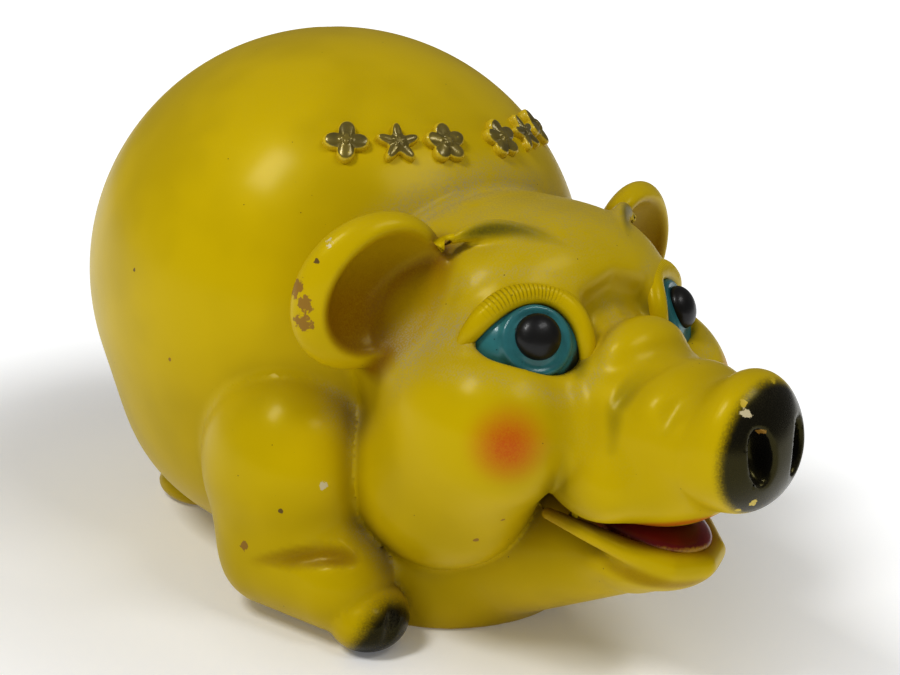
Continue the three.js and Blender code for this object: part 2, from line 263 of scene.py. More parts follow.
@dataclass
class PigForm:
    """The shape of the pig's skin, as fields.

    Attributes:
        torso_radii: Half-sizes of the round torso.
        torso_height: Height of its middle.
        eye_centre: Middle of the left eyeball.
        eye_out: The direction that the left eye looks in.
        eye_radii: Half-sizes of the eyeball: along the face, up it and out of it.
        slot_size: Width and length of the coin slot.
        slot_lean: Angle of the slot behind the top of the back, in degrees.
        slot_depth: How deep the slot's walls go.
        bore_radius: Radius of the stopper's bore.
        recess_radius: Radius of the recess round the stopper.
        recess_depth: Depth of that recess.
        bore_y: Where the bore lies along the pig.
        lip_path: Middle line of the lower lip, from the left corner to the front.
        ear_disc: The left ear before it is cupped.
        ear_cup: What is hollowed out of it.
        mouth_hollow: Middle and half-sizes of what is hollowed out of the lower jaw.
    """

    torso_radii: Point = (90.0, 91.0, 89.0)
    torso_height: float = 94.0
    eye_centre: Point = (26.0, -122.0, 102.5)
    eye_out: Point = (0.42, -0.80, 0.43)
    eye_radii: Point = (20.0, 17.0, 17.0)
    slot_size: tuple[float, float] = (5.0, 40.0)
    slot_lean: float = 20.0
    slot_depth: float = 7.0
    bore_radius: float = 14.0
    recess_radius: float = 19.3
    recess_depth: float = 4.2
    bore_y: float = -27.3
    lip_path: tuple[Point, ...] = (
        (27, -140, 55),
        (21.5, -152, 52),
        (17, -165, 49.5),
        (9.5, -175.5, 47.5),
        (0, -179.5, 47),
    )
    ear_disc: Lump = Lump((59.0, -88.5, 116.0), (23.0, 10.5, 26.5), (8.0, -40.0, 12.0), twin=True)
    ear_cup: Lump = Lump((59.5, -102.0, 116.5), (18.0, 16.5, 22.5), (8.0, -40.0, 12.0), twin=True)
    mouth_hollow: tuple[Point, Point] = ((0, -156, 61.5), (16.5, 24, 13.5))
    eye_basis: Array = field(init=False)
    torso_lumps: list[tuple[Field, float]] = field(init=False)
    head_lumps: list[tuple[Field, float]] = field(init=False)
    cheek_lumps: list[tuple[Field, float]] = field(init=False)

    def __post_init__(self) -> None:
        """Works out the eye's axes and lists the lumps of the torso and the head."""
        out = np.array(self.eye_out) / np.linalg.norm(self.eye_out)
        side = np.cross([0.0, 0.0, 1.0], out)
        side /= np.linalg.norm(side)
        self.eye_basis = np.stack([side, np.cross(out, side), out], 1)
        self.torso_lumps = [
            (Lump((0, 0, self.torso_height), self.torso_radii), 0),
            (Lump((0, -10, 40), (72, 82, 42)), 24),
            (Lump((0, -74, 22), (52, 44, 46)), 12),
        ]
        self.head_lumps = [
            (Lump((0, -88, 96), (56, 44, 45)), 0),
            (Lump((0, -108, 110), (46, 30, 31)), 8),
            (Limb((0, -132, 84), (0, -182, 85.5), 26.5, 18.5, 1.2), 8),
            (Lump((0, -156, 71.5), (26.5, 28, 17.5)), 6),
            (Lump((0, -147, 102), (18, 11, 13)), 3),
            (Lump((0, -168, 93), (22, 11, 13.5)), 3),
            (Lump((20.5, -148, 69.5), (10, 20, 12), (0, 0, 20), twin=True), 10),
            (Lump((0, -189.5, 90), (19.5, 12, 20.5), (-6, 0, 0)), 5),
        ]
        self.cheek_lumps = [
            (Lump((37, -118, 80), (26, 32, 28), twin=True), 0),
            (Lump((32, -98, 56), (28, 34, 32), (-14, 0, 0), twin=True), 12),
        ]

    def at_eye(self, across: float, up: float, out: float) -> Point:
        """A point in the left eye's own frame, as a point of the pig."""
        place = np.array(self.eye_centre) + self.eye_basis @ np.array([across, up, out])
        return tuple(float(v) for v in place)

    def torso(self, points: Array) -> Array:
        """The torso without its openings."""
        return self._blended(self.torso_lumps, points)

    def hind_feet(self, points: Array) -> Array:
        """The hind feet, tucked under the rump."""
        return Lump((38, 34, 5), (13, 17, 6.5), twin=True)(points)

    def legs(self, points: Array) -> Array:
        """The forelegs, folded along the body."""
        upper = Lump((62, -55, 49.5), (26, 31, 33.5), (-8, 0, 0), twin=True)(points)
        fore = Limb((66, -57, 21), (60, -83, 19), 19, 17, twin=True)(points)
        return soft_cut(soft_union(upper, fore, 10.0), self.leg_fold(points), 2.5)

    def leg_fold(self, points: Array) -> Array:
        """The fold between the upper leg and the forearm."""
        path = ((86.0, -66.0, 24.0), (80.0, -78.0, 28.5), (72.0, -88.5, 32.5), (65.0, -95.0, 33.5))
        return Roll(path, (0.2, 1.9, 2.8, 2.6))(points)

    def hooves(self, points: Array) -> Array:
        """The fore hooves, each with a shallow cleft."""
        hoof = Lump((57, -95, 10), (14, 13, 11), (0, 0, -25), twin=True)(points)
        cleft = Limb((56, -106, 20), (61, -111, 4), 1.6, 2.2, twin=True)(points)
        return soft_cut(hoof, cleft, 2.0)

    def lid_path(self, samples: int = 48) -> Array:
        """The middle line of the left upper lid, from its outer to its inner end."""
        places = [(21.6, -1.6, 4.6), (18.6, 3.2, 9.4), (14.6, 7.8, 11.7), (9.2, 11.8, 12.2)]
        places += [(3.3, 14.0, 12.0), (-3.2, 14.4, 11.7), (-8.4, 12.4, 12.0), (-12.2, 8.8, 12.6)]
        places += [(-14.8, 4.2, 12.6)]
        places += [(-16.3, -1.4, 11.6), (-16.8, -6.4, 9.6), (-16.4, -10.0, 7.6)]
        return smooth_path([self.at_eye(*place) for place in places], samples)

    def brow_path(self) -> Array:
        """The line of the left brow, on the forehead, from its outer to its inner end."""
        places = [(48, -101, 130), (40.5, -104, 134.5), (33, -108, 137.5)]
        places += [(26, -113, 138.5), (19, -119, 137.5), (13, -125, 135)]
        return smooth_path(places, 14)

    def head(self, points: Array) -> Array:
        """The head with its brows and eye sockets, and the nose that carries on from it."""
        shape = self._blended(self.head_lumps, points)
        cheeks = self._blended(self.cheek_lumps, points)
        tuck = (1 - smooth_step(62.0, 84.0, points[:, 2])) * smooth_step(118.0, 132.0, -points[:, 1])
        shape = soft_union(shape, cheeks, 8.0 - 6.5 * tuck)
        shape = self._brows(shape, points)
        shape = self._wrinkles(shape, points)
        shape = soft_cut(shape, self.ear_cup(points) + 4.0, 6.0)
        socket = Lump(self.at_eye(0, 2.5, 11), (18.5, 13.8, 10), twin=True, basis=self.eye_basis)
        shape = soft_cut(shape, socket(points), 2.0)
        shape = soft_union(shape, self._lower_lid(points), 3.0)
        shape = soft_union(shape, self._lid_bed(points), 4.5)
        return soft_cut(shape, self.nostrils(points), 1.3)

    def _lower_lid(self, points: Array) -> Array:
        """The thin roll of each lower lid."""
        places = [(19.5, -3.0, 8.6), (12.5, -8.4, 12.4), (4.5, -12.2, 13.6)]
        places += [(-4.0, -13.2, 13.2), (-10.5, -12.4, 11.6), (-15.5, -10.6, 8.6)]
        path = smooth_path([self.at_eye(*place) for place in places], 12)
        return Roll(tuple(map(tuple, path)), (1.5,) * len(path))(points)

    def _lid_bed(self, points: Array) -> Array:
        """The swelling that each upper lid is set on."""
        radii = (0.8, 2.4, 3.0, 3.4, 3.5, 3.5, 3.4, 3.2, 2.8, 2.2, 1.4)
        path = self.lid_path(len(radii)) - self.eye_basis[:, 2] * 2.6
        return Roll(tuple(map(tuple, path)), radii)(points)

    def nostrils(self, points: Array) -> Array:
        """The nostrils."""
        return Lump((8.8, -202.5, 89.8), (4.3, 9.5, 9.0), (0, 10, 6), twin=True)(points)

    def _brows(self, shape: Array, points: Array) -> Array:
        """Raises the edge of each brow and presses the fold below it."""
        brow = self.brow_path()
        swell = [math.sin(math.pi * i / (len(brow) - 1)) for i in range(len(brow))]
        edge = tuple(map(tuple, brow + np.array([0.0, 1.5, -1.6])))
        fold = tuple(map(tuple, brow + np.array([0.0, -4.2, 0.9])))
        shape = soft_union(shape, Roll(edge, tuple(4.6 * v - 1.6 for v in swell))(points), 3.0)
        return soft_cut(shape, Roll(fold, tuple(4.4 * v - 1.2 for v in swell))(points), 2.6)

    @staticmethod
    def _wrinkles(shape: Array, points: Array) -> Array:
        """Presses the wrinkles across the bridge of the nose and down its sides."""
        bridge = Roll(BRIDGE_FOLD[:3], (4.2, 4.0, 2.0))
        first = Roll((FOLD_MIDDLE, *FIRST_FOLD[:3]), (3.0, 3.7, 3.3, 1.2))
        second = Roll(SECOND_FOLD, (1.6, 3.3, 1.4))
        shape = soft_cut(shape, bridge(points), 6.0)
        shape = soft_cut(shape, first(points), 2.4)
        return soft_cut(shape, second(points), 2.4)

    def nose_share(self, points: Array) -> Array:
        """Negative on the nose pad, positive on the rest of the head."""
        return points[:, 1] + 189.0

    def jaw(self, points: Array) -> Array:
        """The lower jaw with its lip, hollowed for the tongue."""
        shape = Limb((0, -100, 27), (0, -154, 42), 29, 13.5, 1.2)(points)
        shape = soft_union(shape, Lump((0, -157, 41.5), (19.5, 23.5, 9), (-6, 0, 0))(points), 5.0)
        lip = Roll(self.lip_path, (1.8, 2.9, 3.6, 3.9, 4.0), twin=True)
        shape = soft_union(shape, lip(points), 3.5)
        return soft_cut(shape, Lump(*self.mouth_hollow)(points), 1.6)

    def ears(self, points: Array) -> Array:
        """The ears, cupped forwards."""
        return soft_cut(self.ear_disc(points), self.ear_cup(points), 3.0)

    def slot_local(self, points: Array) -> Array:
        """The points in the coin slot's frame: across, along and out of the back."""
        local = points - np.array([0.0, 0.0, self.torso_height])
        lean = turn_matrix((-self.slot_lean, 0.0, 0.0))
        return local @ lean - np.array([0.0, 0.0, self.torso_radii[2]])

    def slot(self, points: Array) -> Array:
        """The coin slot."""
        half = np.array([self.slot_size[0] / 2, self.slot_size[1] / 2])
        local = self.slot_local(points)
        beyond = np.abs(local[:, :2]) - half + 1.0
        outside = np.linalg.norm(np.maximum(beyond, 0.0), axis=1)
        below = -local[:, 2] - 3.0 * self.slot_depth
        return np.maximum(outside + np.minimum(beyond.max(1), 0.0) - 1.0, below)

    def stopper_hole(self, points: Array) -> Array:
        """The stopper's bore and the recess round its mouth."""
        radius = np.hypot(points[:, 0], points[:, 1] - self.bore_y)
        bore = np.maximum(radius - self.bore_radius, points[:, 2] - 30.0)
        recess = np.maximum(radius - self.recess_radius, points[:, 2] - self.recess_depth)
        return np.minimum(bore, recess)

    def groups(self, points: Array) -> dict[Region, Array]:
        """The field of each piece of the skin."""
        head = self.head(points)
        return {
            Region.TORSO: self.torso(points),
            Region.LEG: self.legs(points),
            Region.HOOF: self.hooves(points),
            Region.HIND: self.hind_feet(points),
            Region.HEAD: head,
            Region.JAW: self.jaw(points),
            Region.EAR: self.ears(points),
        }

    def skin(self, points: Array) -> Array:
        """The whole outside of the pig."""
        part = self.groups(points)
        body = soft_union(part[Region.TORSO], part[Region.HIND], 6.0)
        body = soft_union(body, part[Region.LEG], 3.5)
        body = soft_union(body, part[Region.HOOF], 2.0)
        head = soft_union(part[Region.HEAD], part[Region.JAW], 1.5)
        head = soft_union(head, part[Region.EAR], 4.0)
        whole = soft_union(body, head, 3.0)
        whole = soft_cut(whole, self.slot(points), 1.2)
        whole = soft_cut(whole, points[:, 2], 1.2)
        return np.maximum(whole, -self.stopper_hole(points))

    def regions(self, points: Array) -> Array:
        """The index in Region of the piece that each point of the skin belongs to."""
        part = self.groups(points)
        names = list(part)
        order = np.argmin(np.stack([part[name] for name in names]), axis=0)
        places = np.array([list(Region).index(name) for name in names])[order]
        on_head = places == list(Region).index(Region.HEAD)
        places[on_head & (self.nose_share(points) < 0)] = list(Region).index(Region.NOSE)
        deep_slot = (self.slot(points) < 0.6) & (self.slot_local(points)[:, 2] < -self.slot_depth)
        deep_bore = (self.stopper_hole(points) < 0.6) & (points[:, 2] > 9.0)
        places[(deep_slot | deep_bore) & (places == 0)] = list(Region).index(Region.OPEN)
        return places

    @staticmethod
    def _blended(lumps: Sequence[tuple[Field, float]], points: Array) -> Array:
        """Lumps melted into each other one after the other."""
        shape = lumps[0][0](points)
        for lump, blend in lumps[1:]:
            shape = soft_union(shape, lump(points), blend)
        return shape


# ---- Meshing a field -------------------------------------------------------------------------------


@dataclass
class Surface:
    """Points and four-sided faces of a surface in millimetres."""

    points: Array
    faces: Array


def gradient(shape: Field, points: Array, reach: float = 0.06) -> Array:
    """The slope of a field at each point."""
    steps = np.eye(3) * reach
    return np.stack([(shape(points + s) - shape(points - s)) / (2 * reach) for s in steps], 1)


def settle(shape: Field, points: Array, limit: float, rounds: int = 3) -> Array:
    """The points moved onto the field's surface, none further than limit in one round."""
    for _ in range(rounds):
        slope = gradient(shape, points)
        move = shape(points)[:, None] * slope / np.maximum((slope**2).sum(1, keepdims=True), 0.05)
        length = np.linalg.norm(move, axis=1, keepdims=True)
        points = points - move * np.minimum(1.0, limit / np.maximum(length, 1e-9))
    return points


def outward(shape: Field, points: Array) -> Array:
    """The unit normal of a field's surface at each point."""
    slope = gradient(shape, points, 0.15)
    return slope / np.maximum(np.linalg.norm(slope, axis=1, keepdims=True), 1e-9)


def sample_near_surface(shape: Field, low: Array, count: Array, step: float) -> Array:
    """The field on a grid, worked out only in the blocks that the surface may cross."""
    block = GRID_BLOCK
    blocks = -(-count // block)
    index = np.indices(blocks).reshape(3, -1).T
    centres = low + (index * block + block / 2) * step
    guess = shape(centres)
    near = np.abs(guess) < block * step * 1.5 + 2 * step
    signs = np.where(guess < 0, -1e3, 1e3).reshape(blocks)
    values = signs.repeat(block, 0).repeat(block, 1).repeat(block, 2)
    values = values[: count[0], : count[1], : count[2]].copy()
    offsets = np.indices((block,) * 3).reshape(3, -1).T
    wanted = (index[near][:, None, :] * block + offsets[None]).reshape(-1, 3)
    wanted = wanted[(wanted < count).all(1)]
    for start in range(0, len(wanted), POINTS_AT_ONCE):
        cells = wanted[start : start + POINTS_AT_ONCE]
        values[tuple(cells.T)] = shape(low + cells * step)
    return values


def net(shape: Field, low: Sequence[float], high: Sequence[float], step: float) -> Surface:
    """Meshes a field by surface nets: one point in each cell that the surface crosses.

    Args:
        shape: The field.
        low: Lowest corner of the space to mesh.
        high: Highest corner of that space.
        step: Side of a cell.

    Returns:
        The surface, its points settled onto the field and its faces facing out.
    """
    low = np.array(low, float)
    count = np.ceil((np.array(high, float) - low) / step).astype(int) + 1
    values = sample_near_surface(shape, low, count, step)
    inside = values < 0
    corners = np.indices((2, 2, 2)).reshape(3, -1).T
    cells = count - 1
    total = np.zeros(cells, np.int8)
    for corner in corners:
        total += inside[tuple(slice(c, c + n) for c, n in zip(corner, cells))]
    mixed = np.argwhere((total > 0) & (total < 8))
    at_corner = np.stack([values[tuple((mixed + corner).T)] for corner in corners], 1)
    crossing_sum = np.zeros((len(mixed), 3))
    crossings = np.zeros(len(mixed))
    for a, b in ((a, b) for a in range(8) for b in range(a + 1, 8)):
        if np.abs(corners[a] - corners[b]).sum() != 1:
            continue
        va, vb = at_corner[:, a], at_corner[:, b]
        crossed = (va < 0) != (vb < 0)
        share = np.where(crossed, va / np.where(crossed, va - vb, 1.0), 0.0)
        place = corners[a] + share[:, None] * (corners[b] - corners[a])
        crossing_sum += np.where(crossed[:, None], place, 0.0)
        crossings += crossed
    points = low + (mixed + crossing_sum / crossings[:, None]) * step
    number = np.full(cells, -1)
    number[tuple(mixed.T)] = np.arange(len(mixed))
    faces = []
    for axis in range(3):
        ahead = [slice(None)] * 3
        behind = [slice(None)] * 3
        ahead[axis], behind[axis] = slice(1, None), slice(None, -1)
        changes = np.argwhere(inside[tuple(ahead)] != inside[tuple(behind)])
        u, v = (axis + 1) % 3, (axis + 2) % 3
        changes = changes[(changes[:, u] > 0) & (changes[:, v] > 0)]
        changes = changes[(changes[:, u] < cells[u]) & (changes[:, v] < cells[v])]
        ring = []
        for du, dv in ((-1, -1), (0, -1), (0, 0), (-1, 0)):
            cell = changes.copy()
            cell[:, u] += du
            cell[:, v] += dv
            ring.append(number[tuple(cell.T)])
        ring = np.stack(ring, 1)
        leaving = inside[tuple(changes.T)]
        faces.append(np.where(leaving[:, None], ring, ring[:, ::-1]))
    quads = np.concatenate(faces)
    quads = quads[(quads >= 0).all(1)]
    return Surface(settle(shape, points, step), quads)


def refined(surface: Surface, shape: Field, step: float) -> Surface:
    """The surface with each face cut in four and its new points settled onto the field."""
    quads = surface.faces
    edges = np.sort(np.stack([quads, np.roll(quads, -1, 1)], 2).reshape(-1, 2), 1)
    unique, place = np.unique(edges, axis=0, return_inverse=True)
    count = len(surface.points)
    middles = surface.points[unique].mean(1)
    centres = surface.points[quads].mean(1)
    new = settle(shape, np.vstack([middles, centres]), step / 2)
    middle = count + place.reshape(quads.shape)
    centre = count + len(unique) + np.arange(len(quads))
    small = [
        np.stack([quads[:, i], middle[:, i], centre, middle[:, (i + 3) % 4]], 1) for i in range(4)
    ]
    return Surface(np.vstack([surface.points, new]), np.concatenate(small))


def rim_of(faces: Array) -> Array:
    """The edges that only one face uses, in that face's direction."""
    edges = np.stack([faces, np.roll(faces, -1, 1)], 2).reshape(-1, 2)
    key = np.sort(edges, 1)
    _, first, uses = np.unique(key, axis=0, return_index=True, return_counts=True)
    return edges[first[uses == 1]]


def face_neighbours(faces: Array) -> tuple[Array, Array]:
    """Pairs of faces that share an edge, as two arrays of face numbers."""
    edges = np.sort(np.stack([faces, np.roll(faces, -1, 1)], 2).reshape(-1, 2), 1)
    owner = np.repeat(np.arange(len(faces)), faces.shape[1])
    order = np.lexsort((edges[:, 1], edges[:, 0]))
    edges, owner = edges[order], owner[order]
    same = (edges[1:] == edges[:-1]).all(1)
    return owner[:-1][same], owner[1:][same]


def calmed(labels: Array, faces: Array, rounds: int = 6) -> Array:
    """Labels of faces, each changed to what most of its neighbours say, so that borders run smooth."""
    first, second = face_neighbours(faces)
    kinds = len(Region)
    for _ in range(rounds):
        votes = np.zeros((len(faces), kinds))
        votes[np.arange(len(faces)), labels] = 1.5
        np.add.at(votes, (first, labels[second]), 1.0)
        np.add.at(votes, (second, labels[first]), 1.0)
        labels = votes.argmax(1)
    return labels


def islands(count: int, first: Array, second: Array) -> Array:
    """A number for each of count items, the same for those that the pairs join."""
    label = np.arange(count)
    while True:
        low = np.minimum(label[first], label[second])
        new = label.copy()
        np.minimum.at(new, first, low)
        np.minimum.at(new, second, low)
        new = new[new]
        if (new == label).all():
            return label
        label = new


def whole_patches(labels: Array, faces: Array) -> Array:
    """Labels of faces, with each small island given to the piece that surrounds it."""
    first, second = face_neighbours(faces)
    for _ in range(4):
        same = labels[first] == labels[second]
        island = islands(len(faces), first[same], second[same])
        size = np.bincount(island, minlength=len(faces))[island]
        small = size < SMALL_ISLAND
        if not small.any():
            break
        for a, b in ((first, second), (second, first)):
            moved = small[a] & ~small[b]
            labels[a[moved]] = labels[b[moved]]
    return labels


# ---- Where the colours lie -------------------------------------------------------------------------


def meeting(a: Array, b: Array, reach: float) -> Array:
    """1 where two forms meet, fading to 0 at reach from their common line."""
    return 1.0 - smooth_step(0.0, reach, np.maximum(np.abs(a), np.abs(b)))


def near(points: Array, centre: Point, core: float, reach: float) -> Array:
    """1 within core of a point on either side of the pig, fading to 0 at reach."""
    return 1.0 - smooth_step(core, reach, np.linalg.norm(mirrored(points) - np.array(centre), axis=1))


@dataclass(frozen=True)
class PaintMap:
    """Where the airbrushed colours, the painted shade, the dust and the dirt lie on the skin.

    Attributes:
        form: The pig's form.
        blush: Middle of the left cheek's blush.
        hoof_tip: Middle of the black on the left fore hoof.
        nose_fade: How far along the snout the nose's black starts and is full.
    """

    form: PigForm
    blush: Point = (50.0, -143.0, 83.0)
    hoof_tip: Point = (57.0, -102.0, 7.0)
    nose_fade: tuple[float, float] = (-190.5, -197.5)

    def masks(self, points: Array, normals: Array) -> dict[str, Array]:
        """The share of each colour at each point.

        Args:
            points: Points of the skin.
            normals: The skin's normals there.

        Returns:
            One array of shares from 0 to 1 for each named mask.
        """
        form = self.form
        part = form.groups(points)
        up = normals[:, 2]
        crease = np.clip(1.0 - form.skin(points + normals * 3.0) / 3.0, 0.0, 1.0)
        # How deep each point lies in a hollow; the lacquer darkens with it, as painted shade.
        hollow = np.clip(1.0 - form.skin(points + normals * 9.0) / 9.0, 0.0, 1.0)
        neck = meeting(part[Region.HEAD], part[Region.TORSO], 16.0)
        return {
            "crease": crease,
            "hollow": hollow,
            "black": self._black(points),
            "brown": self._brown(points, part),
            "red": np.maximum(near(points, self.blush, 1.5, 15.0), self._inner_lip(points)),
            "shade": self._brow_shade(points),
            "dust": self._dust(points, up, crease, neck),
        }

    def _black(self, points: Array) -> Array:
        """The black of the nose and the fore hooves."""
        nose = smooth_step(*(-v for v in self.nose_fade), -points[:, 1] + (points[:, 2] - 90.0) * 0.04)
        nostril = 1.0 - smooth_step(0.5, 2.0, self.form.nostrils(points))
        return np.maximum.reduce([nose, nostril, near(points, self.hoof_tip, 7.5, 15.0)])

    def _brown(self, points: Array, part: dict[Region, Array]) -> Array:
        """The brown in the ears, the folds of the legs and along the mouth; painted shade where ears meet
        the head.
        """
        form = self.form
        cupped = 1.0 - smooth_step(-0.8, 2.6, form.ear_cup(points))
        in_ear = cupped * (1 - smooth_step(-1.0, 4.0, form.ears(points)))
        in_ear *= 0.5 + 0.5 * (1 - smooth_step(110.0, 134.0, points[:, 2]))
        fold = 1.0 - smooth_step(-0.5, 2.2, form.leg_fold(points))
        groove = tuple(
            (x + 3.0 if x else 0.0, y - (0.0 if x else 3.0), z - 6.0) for x, y, z in form.lip_path
        )
        mouth = 1.0 - smooth_step(-0.5, 3.0, Roll(groove, (1.5, 1.5, 1.5, 1.0, 0.5))(points))
        corner = near(points, (32, -142, 57), 3.0, 14.0) * (part[Region.JAW] < 2.0)
        # Painted shade where each ear meets the head.
        ear_join_shade = meeting(part[Region.EAR], part[Region.HEAD], 7.0)
        throat = meeting(part[Region.HEAD], part[Region.JAW], 9.0)
        throat *= 1 - smooth_step(-140.0, -132.0, points[:, 1])
        throat *= 1 - smooth_step(14.0, 22.0, np.abs(points[:, 0]))
        hollow = Lump(*form.mouth_hollow)(points)
        inside = (1 - smooth_step(0.3, 3.6, np.abs(hollow))) * smooth_step(-170.0, -158.0, points[:, 1])
        brim = Roll(((24.0, -141.0, 59.0), (18.5, -153.0, 56.0), (14.0, -165.0, 53.5)), (1.5, 2.0, 0.8))
        brim = 1.0 - smooth_step(0.0, 3.6, brim(points))
        parts = [in_ear, fold * 0.7, mouth * 0.45, corner * 0.5, ear_join_shade * 0.8]
        parts += [throat, inside * 0.8, brim * 0.8]
        return np.maximum.reduce(parts)

    def _inner_lip(self, points: Array) -> Array:
        """The red that fades out over the edge of the lower lip."""
        hollow = Lump(*self.form.mouth_hollow)(points)
        front = 1 - smooth_step(-160.0, -146.0, points[:, 1])
        return (1 - smooth_step(0.3, 3.6, np.abs(hollow))) * front * 0.85

    def _brow_shade(self, points: Array) -> Array:
        """Dark airbrush over the brows and the mouth's corners; painted shade in the snout's folds."""
        brow = self.form.brow_path()
        fold = tuple(map(tuple, brow + np.array([0.0, -3.4, 0.2])))
        swell = tuple(2.2 * math.sin(math.pi * i / (len(brow) - 1)) - 0.6 for i in range(len(brow)))
        brows = 1.0 - smooth_step(0.0, 3.6, Roll(fold, swell)(points))
        first = Roll(FIRST_FOLD, (1.0, 1.6, 1.6, 0.2))
        second = Roll(SECOND_FOLD, (0.4, 1.2, 0.4))
        bridge = Roll(BRIDGE_FOLD, (0.6, 1.2, 1.6, 0.6))
        nearest = np.minimum.reduce([first(points), second(points), bridge(points)])
        # Painted shade in the folds of the snout.
        folds = 1.0 - smooth_step(-0.6, 3.4, nearest)
        corner = near(points, (28, -149, 65), 3.0, 17.0)
        return np.maximum.reduce([brows, folds * 0.55, corner * 0.3])

    def _dust(self, points: Array, up: Array, crease: Array, neck: Array) -> Array:
        """Dust that has settled in the folds and on what faces up."""
        form = self.form
        level = smooth_step(0.25, 0.9, up)
        cheek = Lump((37, -118, 80), (26, 32, 28), twin=True)(points)
        skull = Lump((0, -88, 96), (56, 44, 45))(points)
        cheek_top = meeting(cheek, skull, 14.0) * smooth_step(0.0, 0.5, up)
        eye = Lump(form.eye_centre, (31, 25, 25), twin=True, basis=form.eye_basis)(points)
        under_eye = (1 - smooth_step(-4.0, 5.0, np.abs(eye))) * smooth_step(-0.1, 0.5, up)
        forehead = near(points, (12, -106, 140), 10.0, 40.0) * level
        parts = [neck * smooth_step(-0.1, 0.5, up), cheek_top, under_eye * 0.8, forehead * 0.4]
        back = level * 0.05
        return np.clip(np.maximum.reduce(parts) + crease * 0.25 * smooth_step(-0.2, 0.4, up) + back, 0, 1)


# ---- Materials: expressions on sockets -------------------------------------------------------------


@dataclass(frozen=True)
class Wire:
    """A number that a material works out, with the usual operators."""

    graph: "Graph"
    socket: bpy.types.NodeSocket

    def __add__(self, other: "Wire | float") -> "Wire":
        """Sum."""
        return self.graph.math("ADD", self, other)

    def __sub__(self, other: "Wire | float") -> "Wire":
        """Difference."""
        return self.graph.math("SUBTRACT", self, other)

    def __mul__(self, other: "Wire | float") -> "Wire":
        """Product."""
        return self.graph.math("MULTIPLY", self, other)

    def __truediv__(self, other: "Wire | float") -> "Wire":
        """Quotient."""
        return self.graph.math("DIVIDE", self, other)

    def __pow__(self, other: "Wire | float") -> "Wire":
        """Power."""
        return self.graph.math("POWER", self, other)

    def __rsub__(self, other: float) -> "Wire":
        """Difference with the number first."""
        return self.graph.math("SUBTRACT", other, self)

    def __neg__(self) -> "Wire":
        """Negative."""
        return self.graph.math("MULTIPLY", self, -1.0)

    __radd__ = __add__
    __rmul__ = __mul__

    def least(self, other: "Wire | float") -> "Wire":
        """The smaller of two numbers."""
        return self.graph.math("MINIMUM", self, other)

    def most(self, other: "Wire | float") -> "Wire":
        """The larger of two numbers."""
        return self.graph.math("MAXIMUM", self, other)

    def ramp(self, low: float, high: float) -> "Wire":
        """A smooth step from 0 at low to 1 at high."""
        settings = {"interpolation_type": "SMOOTHSTEP"}
        if low > high:
            return 1.0 - self.ramp(high, low)
        values = {"Value": self, "From Min": low, "From Max": high}
        return Wire(self.graph, self.graph.node("ShaderNodeMapRange", settings, values).outputs[0])


Colour = tuple[float, float, float]
Paint = bpy.types.NodeSocket | Colour


class Graph:
    """A tree of nodes that is written as expressions."""

    def __init__(self, tree: bpy.types.NodeTree) -> None:
        """Starts with an empty tree."""
        self.tree = tree
        self.tree.nodes.clear()

    def node(
        self, kind: str, settings: dict | None = None, inputs: dict | None = None
    ) -> bpy.types.Node:
        """Adds a node.

        Args:
            kind: The node's type.
            settings: Its properties, set first.
            inputs: Values, links or wires for its sockets, by name or number.

        Returns:
            The node.
        """
        made = self.tree.nodes.new(kind)
        for name, value in (settings or {}).items():
            setattr(made, name, value)
        for key, value in (inputs or {}).items():
            source = value.socket if isinstance(value, Wire) else value
            if isinstance(source, bpy.types.NodeSocket):
                self.tree.links.new(source, made.inputs[key])
            elif isinstance(source, tuple) and made.inputs[key].type == "RGBA":
                made.inputs[key].default_value = (*source, 1.0)
            else:
                made.inputs[key].default_value = source
        return made

    def math(self, operation: str, a: Wire | float, b: Wire | float = 0.0) -> Wire:
        """One Math node on one or two numbers."""
        return Wire(self, self.node("ShaderNodeMath", {"operation": operation}, {0: a, 1: b}).outputs[0])


